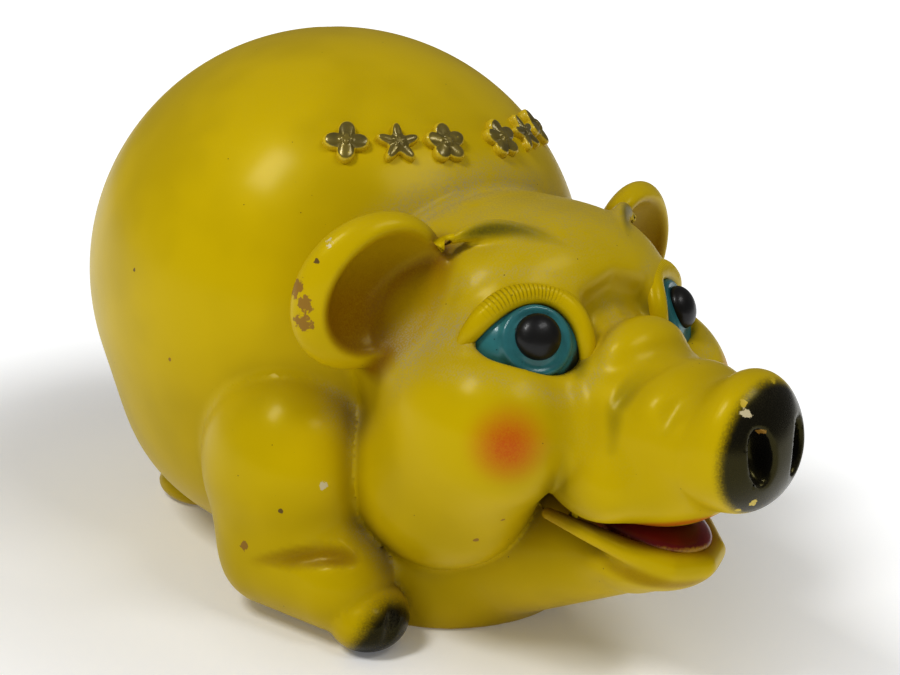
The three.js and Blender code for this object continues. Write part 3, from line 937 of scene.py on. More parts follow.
class Finish(Graph):
    """The nodes of one material."""

    def __init__(self, name: str) -> None:
        """Makes an empty material.

        Args:
            name: The material's name.
        """
        self.material = bpy.data.materials.new(name)
        self.material.use_nodes = True
        super().__init__(self.material.node_tree)
        self.place = self.node("ShaderNodeTexCoord").outputs["Object"]

    def mask(self, name: str) -> Wire:
        """A mask that is stored on the mesh."""
        return Wire(self, self.node("ShaderNodeAttribute", {"attribute_name": name}).outputs["Fac"])

    def noise(self, size: float, detail: float = 2.0, roughness: float = 0.5) -> Wire:
        """Soft noise whose features are about size millimetres across, from 0 to 1."""
        values = {"Vector": self.place, "Scale": 1.0 / (size * MM)}
        values |= {"Detail": detail, "Roughness": roughness}
        return Wire(self, self.node("ShaderNodeTexNoise", {}, values).outputs["Fac"])

    def specks(self, size: float, radius: float) -> Wire:
        """Round specks, one in each cell of the given size, 1 inside the radius (a share of the cell)."""
        values = {"Vector": self.place, "Scale": 1.0 / (size * MM)}
        cells = self.node("ShaderNodeTexVoronoi", {}, values)
        return 1.0 - Wire(self, cells.outputs["Distance"]).ramp(radius * 0.6, radius)

    def away(self, centre: Vector) -> Wire:
        """Distance from a point of the part, in millimetres."""
        values = {0: self.place, 1: tuple(centre)}
        found = self.node("ShaderNodeVectorMath", {"operation": "DISTANCE"}, values)
        return Wire(self, found.outputs["Value"]) / MM

    def mix(self, base: Paint, over: Paint, share: Wire | float) -> bpy.types.NodeSocket:
        """One colour over another."""
        settings = {"data_type": "RGBA", "clamp_factor": True}
        return self.node("ShaderNodeMix", settings, {0: share, 6: base, 7: over}).outputs[2]

    def end(
        self,
        colour: Paint,
        roughness: Wire | float,
        relief: Wire,
        height: float,
        **fixed: Paint | Wire | float,
    ) -> bpy.types.Material:
        """Ends the material in one Principled shader.

        Args:
            colour: Base colour.
            roughness: Roughness of the base.
            relief: Relief from 0 to 1.
            height: What a relief of 1 stands for, in millimetres.
            **fixed: Other sockets of the shader, by name.

        Returns:
            The material.
        """
        inputs = {"Base Color": colour, "Roughness": roughness}
        inputs.update(fixed)
        values = {"Height": relief, "Distance": height * MM, "Strength": 1.0}
        inputs["Normal"] = self.node("ShaderNodeBump", {}, values).outputs[0]
        shader = self.node("ShaderNodeBsdfPrincipled", {}, inputs)
        self.node("ShaderNodeOutputMaterial", {}, {"Surface": shader.outputs[0]})
        return self.material


class Recipe(Graph):
    """A Geometry Nodes tree with named sizes."""

    def __init__(self, name: str, sizes: dict[str, float | Point]) -> None:
        """Makes the tree with one input for each size.

        Args:
            name: The tree's name.
            sizes: The inputs and their first values, numbers or vectors.
        """
        super().__init__(bpy.data.node_groups.new(name, "GeometryNodeTree"))
        face = self.tree.interface
        face.new_socket("Geometry", in_out="INPUT", socket_type="NodeSocketGeometry")
        for key, value in sizes.items():
            kind = "NodeSocketVector" if isinstance(value, tuple) else "NodeSocketFloat"
            face.new_socket(key, in_out="INPUT", socket_type=kind).default_value = value
        face.new_socket("Geometry", in_out="OUTPUT", socket_type="NodeSocketGeometry")
        self.given = self.node("NodeGroupInput")

    def size(self, name: str) -> Wire:
        """One of the tree's inputs."""
        return Wire(self, self.given.outputs[name])

    def store(self, geometry: bpy.types.NodeSocket, name: str, value: Wire) -> bpy.types.NodeSocket:
        """Keeps a value on the points of a curve or mesh."""
        settings = {"data_type": "FLOAT", "domain": "POINT"}
        values = {"Geometry": geometry, "Name": name, "Value": value}
        return self.node("GeometryNodeStoreNamedAttribute", settings, values).outputs[0]

    def close(self, geometry: bpy.types.NodeSocket, material: bpy.types.Material) -> None:
        """Ends the tree: real geometry, smooth shading and a material."""
        for kind in ("GeometryNodeRealizeInstances", "GeometryNodeSetShadeSmooth"):
            geometry = self.node(kind, {}, {0: geometry}).outputs[0]
        values = {"Geometry": geometry, "Material": material}
        painted = self.node("GeometryNodeSetMaterial", {}, values).outputs[0]
        self.node("NodeGroupOutput", {}, {0: painted})

    def run(self, name: str, path: Array, values: dict[str, float | Point]) -> bpy.types.Object:
        """Runs the tree on a path of points and keeps the result as a plain mesh.

        Args:
            name: The name of the new piece.
            path: Points in metres, joined in order.
            values: Values for the tree's inputs.

        Returns:
            The piece.
        """
        line = bpy.data.meshes.new(name + "_path")
        line.from_pydata(path.tolist(), [(i, i + 1) for i in range(len(path) - 1)], [])
        source = bpy.data.objects.new(name + "_path", line)
        bpy.context.scene.collection.objects.link(source)
        modifier = source.modifiers.new("recipe", "NODES")
        modifier.node_group = self.tree
        for socket in self.tree.interface.items_tree:
            if socket.in_out == "INPUT" and socket.name in values:
                modifier[socket.identifier] = values[socket.name]
        ready = source.evaluated_get(bpy.context.evaluated_depsgraph_get())
        mesh = bpy.data.meshes.new_from_object(ready)
        mesh.name = name
        source.modifiers.clear()
        bpy.data.objects.remove(source)
        made = bpy.data.objects.new(name, mesh)
        bpy.context.scene.collection.objects.link(made)
        return made


CREAM: Colour = (0.6, 0.52, 0.33)
SCRAPED: Colour = (0.3, 0.16, 0.03)
BARE: Colour = (0.14, 0.085, 0.03)
CHIPS: tuple[tuple[Point, float, Colour], ...] = (
    ((-11.3, -194.7, 101.5), 1.7, CREAM),
    ((-10.9, -193.3, 103.9), 1.2, (0.55, 0.4, 0.05)),
    ((2.3, -192.5, 107.7), 1.5, (0.5, 0.37, 0.02)),
    ((-6.7, -198.2, 75.7), 1.4, (0.55, 0.42, 0.08)),
    ((-9.0, -195.2, 72.4), 1.0, (0.5, 0.37, 0.02)),
    ((-7.2, -197.8, 97.0), 1.3, SCRAPED),
    ((-73.5, -87.0, 131.5), 1.8, CREAM),
    ((-78.3, -86.7, 127.2), 0.9, BARE),
    ((-82.1, -82.2, 118.5), 3.0, SCRAPED),
    ((-81.5, -86.2, 114.5), 2.6, SCRAPED),
    ((-80.9, -85.3, 108.5), 2.8, SCRAPED),
    ((-69.7, -84.3, 53.6), 1.4, CREAM),
    ((-80.2, -76.9, 44.9), 0.8, BARE),
    ((-84.4, -64.2, 29.1), 1.5, SCRAPED),
    ((-40.5, -134.6, 54.0), 0.9, SCRAPED),
    ((-43.4, -126.9, 45.2), 0.9, SCRAPED),
    ((-89.1, -3.8, 105.9), 0.7, BARE),
    ((-86.1, -21.8, 79.4), 0.8, SCRAPED),
    ((41.0, 38.0, 168.0), 1.3, SCRAPED),
    ((84.0, 22.0, 70.0), 1.6, CREAM),
)


@dataclass(frozen=True)
class Lacquer:
    """The glossy yellow lacquer: airbrushed colours, painted shade, dust, specks and chips.

    Attributes:
        origin: Where the pig's own origin lies in the part, in metres.
        yellow: The lacquer.
        deep: A darker tone, in random clouds and as painted shade in the hollows.
        brown: The brown airbrush.
        red: The red airbrush.
        black: The black airbrush.
        olive: The dark airbrush over the brows, and painted shade in the snout's folds and lash grooves.
        dust: Settled dust.
        dirt: Dirt in the creases.
        chips: Chips and worn places: middle, size and colour of each.
    """

    origin: Vector
    yellow: Colour = (0.58, 0.42, 0.0015)
    deep: Colour = (0.36, 0.255, 0.001)
    brown: Colour = (0.15, 0.04, 0.0008)
    red: Colour = (0.52, 0.07, 0.012)
    black: Colour = (0.0065, 0.006, 0.0055)
    olive: Colour = (0.05, 0.05, 0.008)
    dust: Colour = (0.36, 0.31, 0.2)
    dirt: Colour = (0.055, 0.04, 0.018)
    chips: tuple[tuple[Point, float, Colour], ...] = CHIPS

    def material(self, name: str) -> bpy.types.Material:
        """Builds the lacquer.

        Args:
            name: The material's name.

        Returns:
            The material.
        """
        g = Finish(name)
        grain = g.noise(0.55)
        cloud = g.noise(34.0)
        patch = g.noise(7.0, 3.0)
        ragged = g.noise(1.6, 3.0, 0.6) - 0.5
        spray = (grain - 0.5) * 0.5
        crease, hollow, black = g.mask("crease"), g.mask("hollow"), g.mask("black")
        # A darker tone in random clouds, and painted shade where the skin lies in a hollow.
        colour = g.mix(self.yellow, self.deep, cloud.ramp(0.35, 0.75) * 0.35 + hollow * 0.55)
        colour = g.mix(colour, self.red, g.mask("red") * (0.85 + spray))
        colour = g.mix(colour, self.brown, g.mask("brown") * (1.0 + spray))
        colour = g.mix(colour, self.olive, g.mask("shade") * (1.0 + spray))
        black = (black + black * (1.0 - black) * spray * 3.0).ramp(0.08, 0.85)
        colour = g.mix(colour, self.black, black)
        dust = (g.mask("dust") * (0.22 + grain.ramp(0.4, 0.66)) * patch.ramp(0.05, 0.6)).least(1.0)
        colour = g.mix(colour, self.dust, dust * 0.7)
        dirt = crease.ramp(0.55, 0.95) * (0.5 + grain * 0.8)
        colour = g.mix(colour, self.dirt, dirt * 0.22)
        specks = g.specks(7.5, 0.035) * 0.8 + g.specks(3.1, 0.045) * patch.ramp(0.5, 0.7) * 0.55
        colour = g.mix(colour, self.dirt, specks)
        for centre, size, tone in self.chips:
            edge = g.away(self.origin + Vector(centre) * MM) + ragged * size * 2.2
            colour = g.mix(colour, tone, 1.0 - edge.ramp(size * 0.9, size * 1.05))
        roughness = 0.36 + dust * 0.4 + grain * 0.06 - black.ramp(0.3, 0.9) * 0.12
        peel = g.noise(2.6, 1.0) * 0.6 + g.noise(0.8, 1.0) * 0.12
        coat = black * 0.08 + 0.1
        gloss = {
            "Specular IOR Level": 0.26,
            "Specular Tint": (1.0, 0.84, 0.03),
            "Coat Weight": coat,
            "Coat Roughness": 0.19,
        }
        return g.end(colour, roughness, peel, 0.05, **gloss)


@dataclass(frozen=True)
class MottledPaint:
    """A paint of two tones that shows a third where it is worn or thin.

    Attributes:
        main: Its usual tone.
        dark: Its darker tone.
        worn: What shows through.
        worn_mask: The mask on the mesh of where it is thin, or an empty name.
        roughness: Its roughness.
        metallic: How metallic it is.
        coat: Weight of the gloss coat over it.
        grain: Size of its grain, in millimetres.
        height: Height of its grain, in millimetres.
    """

    main: Colour
    dark: Colour
    worn: Colour
    worn_mask: str = ""
    roughness: float = 0.25
    metallic: float = 0.0
    coat: float = 0.3
    grain: float = 1.2
    height: float = 0.03

    def material(self, name: str) -> bpy.types.Material:
        """Builds the paint.

        Args:
            name: The material's name.

        Returns:
            The material.
        """
        g = Finish(name)
        fine, broad = g.noise(self.grain * 0.4), g.noise(self.grain * 5.0, 3.0)
        colour = g.mix(self.main, self.dark, broad.ramp(0.35, 0.7) * 0.7)
        worn = g.specks(4.0, 0.06) * 0.8
        if self.worn_mask:
            thin = g.mask(self.worn_mask) + (broad - 0.5) * 0.7 + (fine - 0.5) * 0.3
            worn = worn.most(thin.ramp(0.3, 0.7))
        colour = g.mix(colour, self.worn, worn)
        metal = (1.0 - worn) * self.metallic
        relief = g.noise(self.grain) * 0.8 + fine * 0.2
        gloss = {
            "Specular IOR Level": 0.3,
            "Coat Weight": self.coat,
            "Coat Roughness": 0.1,
            "Metallic": metal,
        }
        roughness = self.roughness + worn * 0.15 + fine * 0.1
        return g.end(colour, roughness, relief, self.height, **gloss)


TEAL = MottledPaint(
    main=(0.035, 0.18, 0.19),
    dark=(0.025, 0.12, 0.13),
    worn=(0.006, 0.012, 0.01),
    worn_mask="rim",
)
BLACK = MottledPaint(
    main=(0.006, 0.006, 0.006),
    dark=(0.012, 0.011, 0.01),
    worn=(0.09, 0.09, 0.09),
    roughness=0.34,
    coat=0.12,
)
RED = MottledPaint(
    main=(0.19, 0.008, 0.008),
    dark=(0.09, 0.006, 0.006),
    worn=(0.55, 0.32, 0.01),
    worn_mask="edge",
    roughness=0.3,
    grain=2.0,
)
GILT = MottledPaint(
    main=(0.22, 0.17, 0.035),
    dark=(0.11, 0.09, 0.03),
    worn=(0.62, 0.45, 0.01),
    worn_mask="edge",
    metallic=0.35,
)
RUBBER = MottledPaint(
    main=(0.03, 0.029, 0.028),
    dark=(0.018, 0.018, 0.018),
    worn=(0.07, 0.07, 0.068),
    roughness=0.6,
    coat=0.0,
)


# ---- Making pieces ---------------------------------------------------------------------------------


@dataclass
class Workshop:
    """Turns surfaces into finished pieces of the part.

    Attributes:
        origin: Where the pig's own origin lies in the part, in metres.
    """

    origin: Vector

    def piece(
        self,
        name: str,
        points: Array,
        faces: Sequence,
        material: bpy.types.Material,
        masks: dict[str, Array] | None = None,
    ) -> bpy.types.Object:
        """Makes a smooth-shaded object from a closed surface.

        Args:
            name: The piece's name.
            points: Its points in the pig's frame, in millimetres.
            faces: Its faces.
            material: Its material.
            masks: Values to store at its points.

        Returns:
            The object, at the origin of the part.
        """
        mesh = bpy.data.meshes.new(name)
        placed = points * MM + np.array(self.origin)
        mesh.from_pydata(placed.tolist(), [], faces)
        mesh.shade_smooth()
        for key, values in (masks or {}).items():
            layer = mesh.attributes.new(key, "FLOAT", "POINT")
            layer.data.foreach_set("value", np.asarray(values, np.float32))
        mesh.materials.append(material)
        made = bpy.data.objects.new(name, mesh)
        bpy.context.scene.collection.objects.link(made)
        return made

    def enter(self, piece: bpy.types.Object, body: str, slot: str, *nodes: str) -> None:
        """Fixes a finished piece to its body and hides the nodes that it stands for."""
        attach(piece, body)
        if nodes:
            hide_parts(*nodes)
        log.info("%s: %d faces on %s", piece.name, len(piece.data.polygons), body)


@dataclass
class Castings:
    """The pig's skin, divided into the castings and pressed pieces that it is made of.

    Attributes:
        form: The pig's form.
        shop: Where the pieces are finished.
        step: Side of a cell of the mesh.
        walls: Thickness of each piece.
        fine: The pieces whose faces are cut in four.
        low: Lowest corner of the space that the pig fills.
        high: Highest corner of that space.
    """

    form: PigForm
    shop: Workshop
    step: float = 1.7
    walls: dict[Region, float] = field(
        default_factory=lambda: {
            Region.TORSO: 4.0,
            Region.HEAD: 3.0,
            Region.NOSE: 2.5,
            Region.JAW: 2.5,
            Region.EAR: 1.6,
            Region.LEG: 3.0,
            Region.HOOF: 2.5,
            Region.HIND: 2.0,
        }
    )
    fine: frozenset[Region] = frozenset({Region.HEAD, Region.NOSE, Region.JAW, Region.EAR, Region.HOOF})
    low: Point = (-99.0, -210.0, -4.0)
    high: Point = (99.0, 96.0, 188.0)

    def build(self, lacquer: bpy.types.Material) -> None:
        """Meshes the skin and makes each of its pieces."""
        step = self.step * 1.0
        skin = net(self.form.skin, self.low, self.high, step)
        log.info("skin: %d faces", len(skin.faces))
        centres = skin.points[skin.faces].mean(1)
        labels = whole_patches(calmed(self.form.regions(centres), skin.faces), skin.faces)
        left = centres[:, 0] > 0
        for place, region in enumerate(Region):
            if region is Region.OPEN:
                continue
            chosen = labels == place
            if region in (Region.EAR, Region.LEG, Region.HOOF, Region.HIND):
                self._piece(skin, chosen & left, region, region.value + "_left", lacquer, step)
                self._piece(skin, chosen & ~left, region, region.value + "_right", lacquer, step)
            else:
                self._piece(skin, chosen, region, region.value, lacquer, step)

    def _piece(
        self,
        skin: Surface,
        chosen: Array,
        region: Region,
        node: str,
        lacquer: bpy.types.Material,
        step: float,
    ) -> None:
        """Makes one closed piece from the chosen faces of the skin, with a wall behind them."""
        used, faces = np.unique(skin.faces[chosen], return_inverse=True)
        coarse = Surface(skin.points[used], faces.reshape(-1, 4))
        outer = refined(coarse, self.form.skin, step) if region in self.fine else coarse
        normals = outward(self.form.skin, outer.points)
        inner = coarse.points - normals[: len(coarse.points)] * self.walls[region]
        count = len(outer.points)
        points = np.vstack([outer.points, inner])
        outer_faces = outer.faces.tolist()
        inner_faces = (coarse.faces[:, ::-1] + count).tolist()
        rim, sharp = self._rim(coarse, outer, count)
        masks = PaintMap(self.form).masks(outer.points, normals)
        padded = {key: np.concatenate([value, np.zeros(len(inner))]) for key, value in masks.items()}
        made = self.shop.piece("cast_" + node, points, outer_faces + inner_faces + rim, lacquer, padded)
        self._sharpen(made.data, sharp)
        slot = "black_lacquer" if region in (Region.NOSE, Region.HOOF) else "yellow_lacquer"
        self.shop.enter(made, BODY, slot, node)

    @staticmethod
    def _rim(coarse: Surface, outer: Surface, count: int) -> tuple[list[list[int]], set[tuple[int, int]]]:
        """The faces that join the outside to the wall behind it, and the edges that they make sharp."""
        middle_of: dict[int, list[int]] = {}
        if outer is not coarse:
            for a, b in rim_of(outer.faces).tolist():
                new, old = (a, b) if a >= len(coarse.points) else (b, a)
                middle_of.setdefault(new, []).append(old)
        halves = {tuple(sorted(ends)): new for new, ends in middle_of.items() if len(ends) == 2}
        faces, sharp = [], set()
        for a, b in rim_of(coarse.faces).tolist():
            middle = halves.get((min(a, b), max(a, b)))
            chain = [b, a] if middle is None else [b, middle, a]
            faces.append([*chain, a + count, b + count])
            sharp.update(tuple(sorted(pair)) for pair in zip(chain, chain[1:]))
            sharp.add((min(a, b) + count, max(a, b) + count))
        return faces, sharp

    @staticmethod
    def _sharpen(mesh: bpy.types.Mesh, sharp: set[tuple[int, int]]) -> None:
        """Marks the edges of a piece's rim as sharp."""
        flags = [tuple(sorted(edge.vertices)) in sharp for edge in mesh.edges]
        layer = mesh.attributes.new("sharp_edge", "BOOLEAN", "EDGE")
        layer.data.foreach_set("value", flags)


# ---- Pieces that are set on the skin ---------------------------------------------------------------


SWEEP_SIZES = {
    "Radius": 0.003,
    "Start Share": 1.0,
    "End Share": 1.0,
    "Start Taper": 0.2,
    "End Taper": 0.2,
    "Grooves": 0.0,
    "Groove Depth": 0.0,
    "Grooved Side": (0.0, 0.0, 1.0),
}


def sweep_recipe(material: bpy.types.Material) -> Recipe:
    """A round roll along a path, thinner at its ends, with grooves across one side of it.

    Args:
        material: The roll's material.

    Returns:
        The tree, which keeps each point's place along the path as "along" and how deep it lies in a
        groove as "groove".
    """
    g = Recipe("roll_along_path", SWEEP_SIZES)
    curve = g.node("GeometryNodeMeshToCurve", {}, {0: g.given.outputs["Geometry"]}).outputs[0]
    along = Wire(g, g.node("GeometryNodeSplineParameter").outputs["Factor"])
    opening = (along / g.size("Start Taper")).least(1.0)
    closing = ((1.0 - along) / g.size("End Taper")).least(1.0)
    round_in = g.math("SQRT", opening * (2.0 - opening))
    round_out = g.math("SQRT", closing * (2.0 - closing))
    share = (g.size("Start Share") + (1.0 - g.size("Start Share")) * round_in) * (
        g.size("End Share") + (1.0 - g.size("End Share")) * round_out
    )
    values = {"Curve": curve, "Radius": g.size("Radius") * share}
    curve = g.node("GeometryNodeSetCurveRadius", {}, values).outputs[0]
    kept = g.store(curve, "along", along)
    circle = {"Resolution": 28, "Radius": 1.0}
    profile = g.node("GeometryNodeCurvePrimitiveCircle", {}, circle).outputs["Curve"]
    values = {"Curve": kept, "Profile Curve": profile, "Fill Caps": True}
    swept = g.node("GeometryNodeCurveToMesh", {}, values)
    if "Scale" in swept.inputs:
        radius = g.node("GeometryNodeInputRadius").outputs[0]
        g.tree.links.new(radius, swept.inputs["Scale"])
    named = g.node("GeometryNodeInputNamedAttribute", {"data_type": "FLOAT"}, {"Name": "along"})
    place = Wire(g, named.outputs[0])
    normal = g.node("GeometryNodeInputNormal").outputs[0]
    values = {0: normal, 1: g.size("Grooved Side")}
    facing = g.node("ShaderNodeVectorMath", {"operation": "DOT_PRODUCT"}, values)
    side = Wire(g, facing.outputs["Value"]).ramp(-0.35, 0.25)
    wave = g.math("SINE", place * g.size("Grooves") * math.pi)
    groove = (1.0 - g.math("ABSOLUTE", wave).ramp(0.0, 0.75)) * side * round_mask(place)
    depth = groove * g.size("Groove Depth") * -1.0
    offset = g.node("ShaderNodeVectorMath", {"operation": "SCALE"}, {0: normal, "Scale": depth}).outputs[0]
    stored = g.store(swept.outputs[0], "groove", groove)
    moved = g.node("GeometryNodeSetPosition", {}, {"Geometry": stored, "Offset": offset}).outputs[0]
    g.close(moved, material)
    return g


def round_mask(place: Wire) -> Wire:
    """1 on the stretch of a lid that has lash grooves, fading to 0 at its ends."""
    return place.ramp(*GROOVES_START) * (1.0 - place.ramp(*GROOVES_END))


@dataclass
class Tail:
    """The tail: one curl that lies on the rump.

    Attributes:
        shop: Where pieces are finished.
        root: The middle of the curl, on the pig's rump.
        radius: Radius of the tail.
        curl: Radius of the curl.
        turns: How many times it goes round.
    """

    shop: Workshop
    root: Point = (0.0, 91.0, 80.65)
    radius: float = 4.0
    curl: float = 9.5
    turns: float = 1.15

    def build(self, recipe: Recipe, lacquer: bpy.types.Material) -> None:
        """Sweeps the tail."""
        points = []
        for share in np.linspace(0.0, 1.0, 90):
            angle = 2 * math.pi * self.turns * share - math.pi / 2
            out = -2.0 + (1.8 * self.radius + 2.0) * share
            reach = self.curl * (1.0 - 0.38 * share)
            offset = (reach * math.cos(angle), out, reach * math.sin(angle))
            points.append(np.add(self.root, offset) * MM + np.array(self.shop.origin))
        values = {"Radius": self.radius * MM, "End Share": 0.12, "End Taper": 0.3}
        made = recipe.run("tail_curl", np.array(points), values)
        self.shop.enter(made, BODY, "yellow_lacquer", "tail")


@dataclass
class Eyes:
    """The eyeballs, their pupils and the grooved upper lids.

    Attributes:
        form: The pig's form.
        shop: Where pieces are finished.
        pupil_radius: Radius of the black ball of the pupil.
        iris_radius: Radius of the ring round it.
        lid_radius: Radius of the lid's roll.
        lashes: How many grooves are pressed across a lid.
        lash_depth: Their depth.
    """

    form: PigForm
    shop: Workshop
    pupil_radius: float = 7.0
    iris_radius: float = 9.6
    lid_radius: float = 4.0
    lashes: int = 52
    lash_depth: float = 0.24

    def ball(self, points: Array) -> Array:
        """The left eyeball with the raised ring round its pupil."""
        form = self.form
        shape = Lump(form.eye_centre, form.eye_radii, basis=form.eye_basis)(points)
        turns = np.radians(np.linspace(0, 360, 33))
        circle = [(self.iris_radius * math.cos(t), self.iris_radius * math.sin(t)) for t in turns]
        ring = tuple(form.at_eye(*place, 14.2) for place in circle)
        shape = soft_union(shape, Roll(ring, (1.3,) * len(ring), twin=False)(points), 1.2)
        back = (points - np.array(form.eye_centre)) @ form.eye_basis[:, 2]
        return np.maximum(shape, 2.5 - back)

    def build(self, teal: bpy.types.Material, black: bpy.types.Material, recipe: Recipe) -> None:
        """Makes both eyes."""
        reach = np.array([22.0, 22.0, 22.0])
        centre = np.array(self.form.eye_centre)
        ball = net(self.ball, centre - reach, centre + reach, 0.7)
        pupil_at = self.form.at_eye(0.0, 1.0, 16.2)
        pupil = Lump(pupil_at, (self.pupil_radius, self.pupil_radius, 4.6), basis=self.form.eye_basis)
        bead = net(pupil, np.array(pupil_at) - 8.0, np.array(pupil_at) + 8.0, 0.6)
        for side, mirror in (("left", 1.0), ("right", -1.0)):
            flip = np.array([mirror, 1.0, 1.0])
            order = slice(None) if mirror > 0 else slice(None, None, -1)
            pairs = (
                ("eye_ball", ball, teal, "teal_lacquer", "eyeball"),
                ("eye_pupil", bead, black, "black_lacquer", "pupil"),
            )
            for name, shape, material, slot, node in pairs:
                faces = shape.faces[:, order].tolist()
                rim = self._rim_shade(shape.points)
                made = self.shop.piece(f"{name}_{side}", shape.points * flip, faces, material, {"rim": rim})
                self.shop.enter(made, BODY, slot, f"{node}_{side}")
            self._lid(side, flip, recipe)

    def _rim_shade(self, points: Array) -> Array:
        """The dark shade of the eyeball towards its lids."""
        local = (points - np.array(self.form.eye_centre)) @ self.form.eye_basis
        far = np.hypot(local[:, 0] / 19.0, (local[:, 1] - 1.0) / 15.0)
        far += 0.12 * local[:, 1] / 15.0 - 0.16 * local[:, 0] / 19.0
        return smooth_step(0.6, 1.0, far)

    def _lid(self, side: str, flip: Array, recipe: Recipe) -> None:
        """Sweeps one upper lid and marks its dark airbrush and the painted shade in its grooves."""
        path = self.form.lid_path(520) * flip * MM + np.array(self.shop.origin)
        out = self.form.eye_basis @ np.array([0.35, 0.85, 0.4]) * flip
        values = {
            "Radius": self.lid_radius * MM,
            "Start Share": 0.15,
            "End Share": 0.3,
            "Start Taper": 0.4,
            "End Taper": 0.62,
            "Grooves": float(self.lashes),
            "Groove Depth": self.lash_depth * MM,
            "Grooved Side": tuple(float(v) for v in out),
        }
        made = recipe.run(f"lashed_lid_{side}", path, values)
        self._mask_lid(made, flip)
        self.shop.enter(made, BODY, "yellow_lacquer", f"upper_lid_{side}")

    def _mask_lid(self, lid: bpy.types.Object, flip: Array) -> None:
        """Stores the lacquer's masks on a lid: painted shade in the grooves, dark airbrush towards the eye.
        """
        mesh = lid.data
        points = np.empty(len(mesh.vertices) * 3)
        mesh.vertices.foreach_get("co", points)
        points = (points.reshape(-1, 3) - np.array(self.shop.origin)) / MM * flip
        groove = np.empty(len(mesh.vertices))
        mesh.attributes["groove"].data.foreach_get("value", groove)
        local = (points - np.array(self.form.eye_centre)) @ self.form.eye_basis
        line = (self.form.lid_path(60) - np.array(self.form.eye_centre)) @ self.form.eye_basis
        spread = np.hypot(local[:, 0] / 19.5, (local[:, 1] + 1.0) / 16.0)
        nearest = np.linalg.norm(local[:, None, :] - line[None], axis=2).argmin(1)
        middle = line[nearest]
        nearer = np.hypot(*middle[:, :2].T) - np.hypot(*local[:, :2].T)
        inwards = nearer - (local - middle)[:, 2]
        inner = smooth_step(-0.4, 3.2, inwards)
        masks = {
            # The grooves are darkened as painted shade; the side towards the eye takes the dark airbrush.
            "crease": 0.3 + groove * 0.4,
            "shade": np.maximum(inner, groove * 0.35),
            "hollow": groove * 0.6,
            "black": inner * 0.45,
        }
        for key, values in masks.items():
            mesh.attributes.new(key, "FLOAT", "POINT").data.foreach_set("value", values.astype(np.float32))


@dataclass
class Tongue:
    """The tongue, which lies in the lower jaw.

    Attributes:
        shop: Where pieces are finished.
        pad: The tongue's pad.
        furrow: The furrow along it.
    """

    shop: Workshop
    pad: Lump = Lump((0.0, -157.0, 53.0), (16.0, 22.0, 6.5), (5.0, 0.0, 0.0))
    furrow: Limb = Limb((0.0, -138.0, 61.4), (0.0, -176.0, 57.6), 0.8, 0.8)

    def shape(self, points: Array) -> Array:
        """The tongue with its furrow."""
        return soft_cut(self.pad(points), self.furrow(points), 1.6)

    def build(self, red: bpy.types.Material) -> None:
        """Makes the tongue."""
        surface = net(self.shape, (-20, -192, 42), (20, -132, 68), 0.9)
        far = np.hypot(surface.points[:, 0] / 16.0, (surface.points[:, 1] + 156.0) / 22.5)
        edge = smooth_step(0.95, 1.08, far) * (1.0 - smooth_step(53.0, 58.0, surface.points[:, 2]))
        made = self.shop.piece("tongue_pad", surface.points, surface.faces.tolist(), red, {"edge": edge})
        self.shop.enter(made, BODY, "red_lacquer", "tongue")


@dataclass(frozen=True)
class Rosette:
    """The outline of an ornament: how many points, how deep between them and how round."""

    points: int
    inner: float
    roundness: float
    crease: float


class Blossom(Enum):
    """The ornaments' kinds."""

    STAR = Rosette(5, 0.5, 1.4, 0.35)
    BLOSSOM = Rosette(5, 0.68, 0.5, 0.5)
    CLOVER = Rosette(4, 0.55, 0.6, 0.45)


def ornament_recipe(material: bpy.types.Material) -> Recipe:
    """A pressed rosette with rounded edges and a boss in the middle, lying flat at the origin."""
    sizes = {"Radius": 0.0075, "Height": 0.004, "Points": 5.0}
    sizes |= {"Inner": 0.5, "Roundness": 1.0, "Crease": 0.4}
    g = Recipe("pressed_rosette", sizes)
    disc = {"Vertices": 120, "Side Segments": 8, "Fill Segments": 16, "Radius": 1.0, "Depth": 2.0}
    blank = g.node("GeometryNodeMeshCylinder", {}, disc).outputs["Mesh"]
    place = g.node("ShaderNodeSeparateXYZ", {}, {0: g.node("GeometryNodeInputPosition").outputs[0]})
    x, y, z = (Wire(g, output) for output in place.outputs)
    far = g.math("SQRT", x * x + y * y)
    angle = g.math("ARCTAN2", -x, y)
    swing = (0.5 + 0.5 * g.math("COSINE", angle * g.size("Points"))) ** g.size("Roundness")
    reach = g.size("Radius") * (g.size("Inner") + (1.0 - g.size("Inner")) * swing)
    square = g.math("ABSOLUTE", z) ** 5.0 + far**5.0
    pull = (square + 1e-9) ** -0.2
    pull = g.math("MULTIPLY", pull, (far.most(g.math("ABSOLUTE", z))))
    ring = far * pull
    boss = 1.0 - ring.ramp(0.2, 0.34)
    dent = (1.0 - swing) * ring.ramp(0.3, 0.8) * g.size("Crease")
    top = z.most(0.0)
    height = g.size("Height") * (0.5 * z * pull + 0.5 * top * (0.22 * boss - dent * 0.5))
    spread = reach * pull
    values = {"X": x * spread, "Y": y * spread, "Z": height}
    target = g.node("ShaderNodeCombineXYZ", {}, values).outputs[0]
    stored = g.store(blank, "edge", (1.0 - top).most(ring.ramp(0.78, 1.0)))
    moved = g.node("GeometryNodeSetPosition", {}, {"Geometry": stored, "Position": target}).outputs[0]
    g.close(moved, material)
    return g


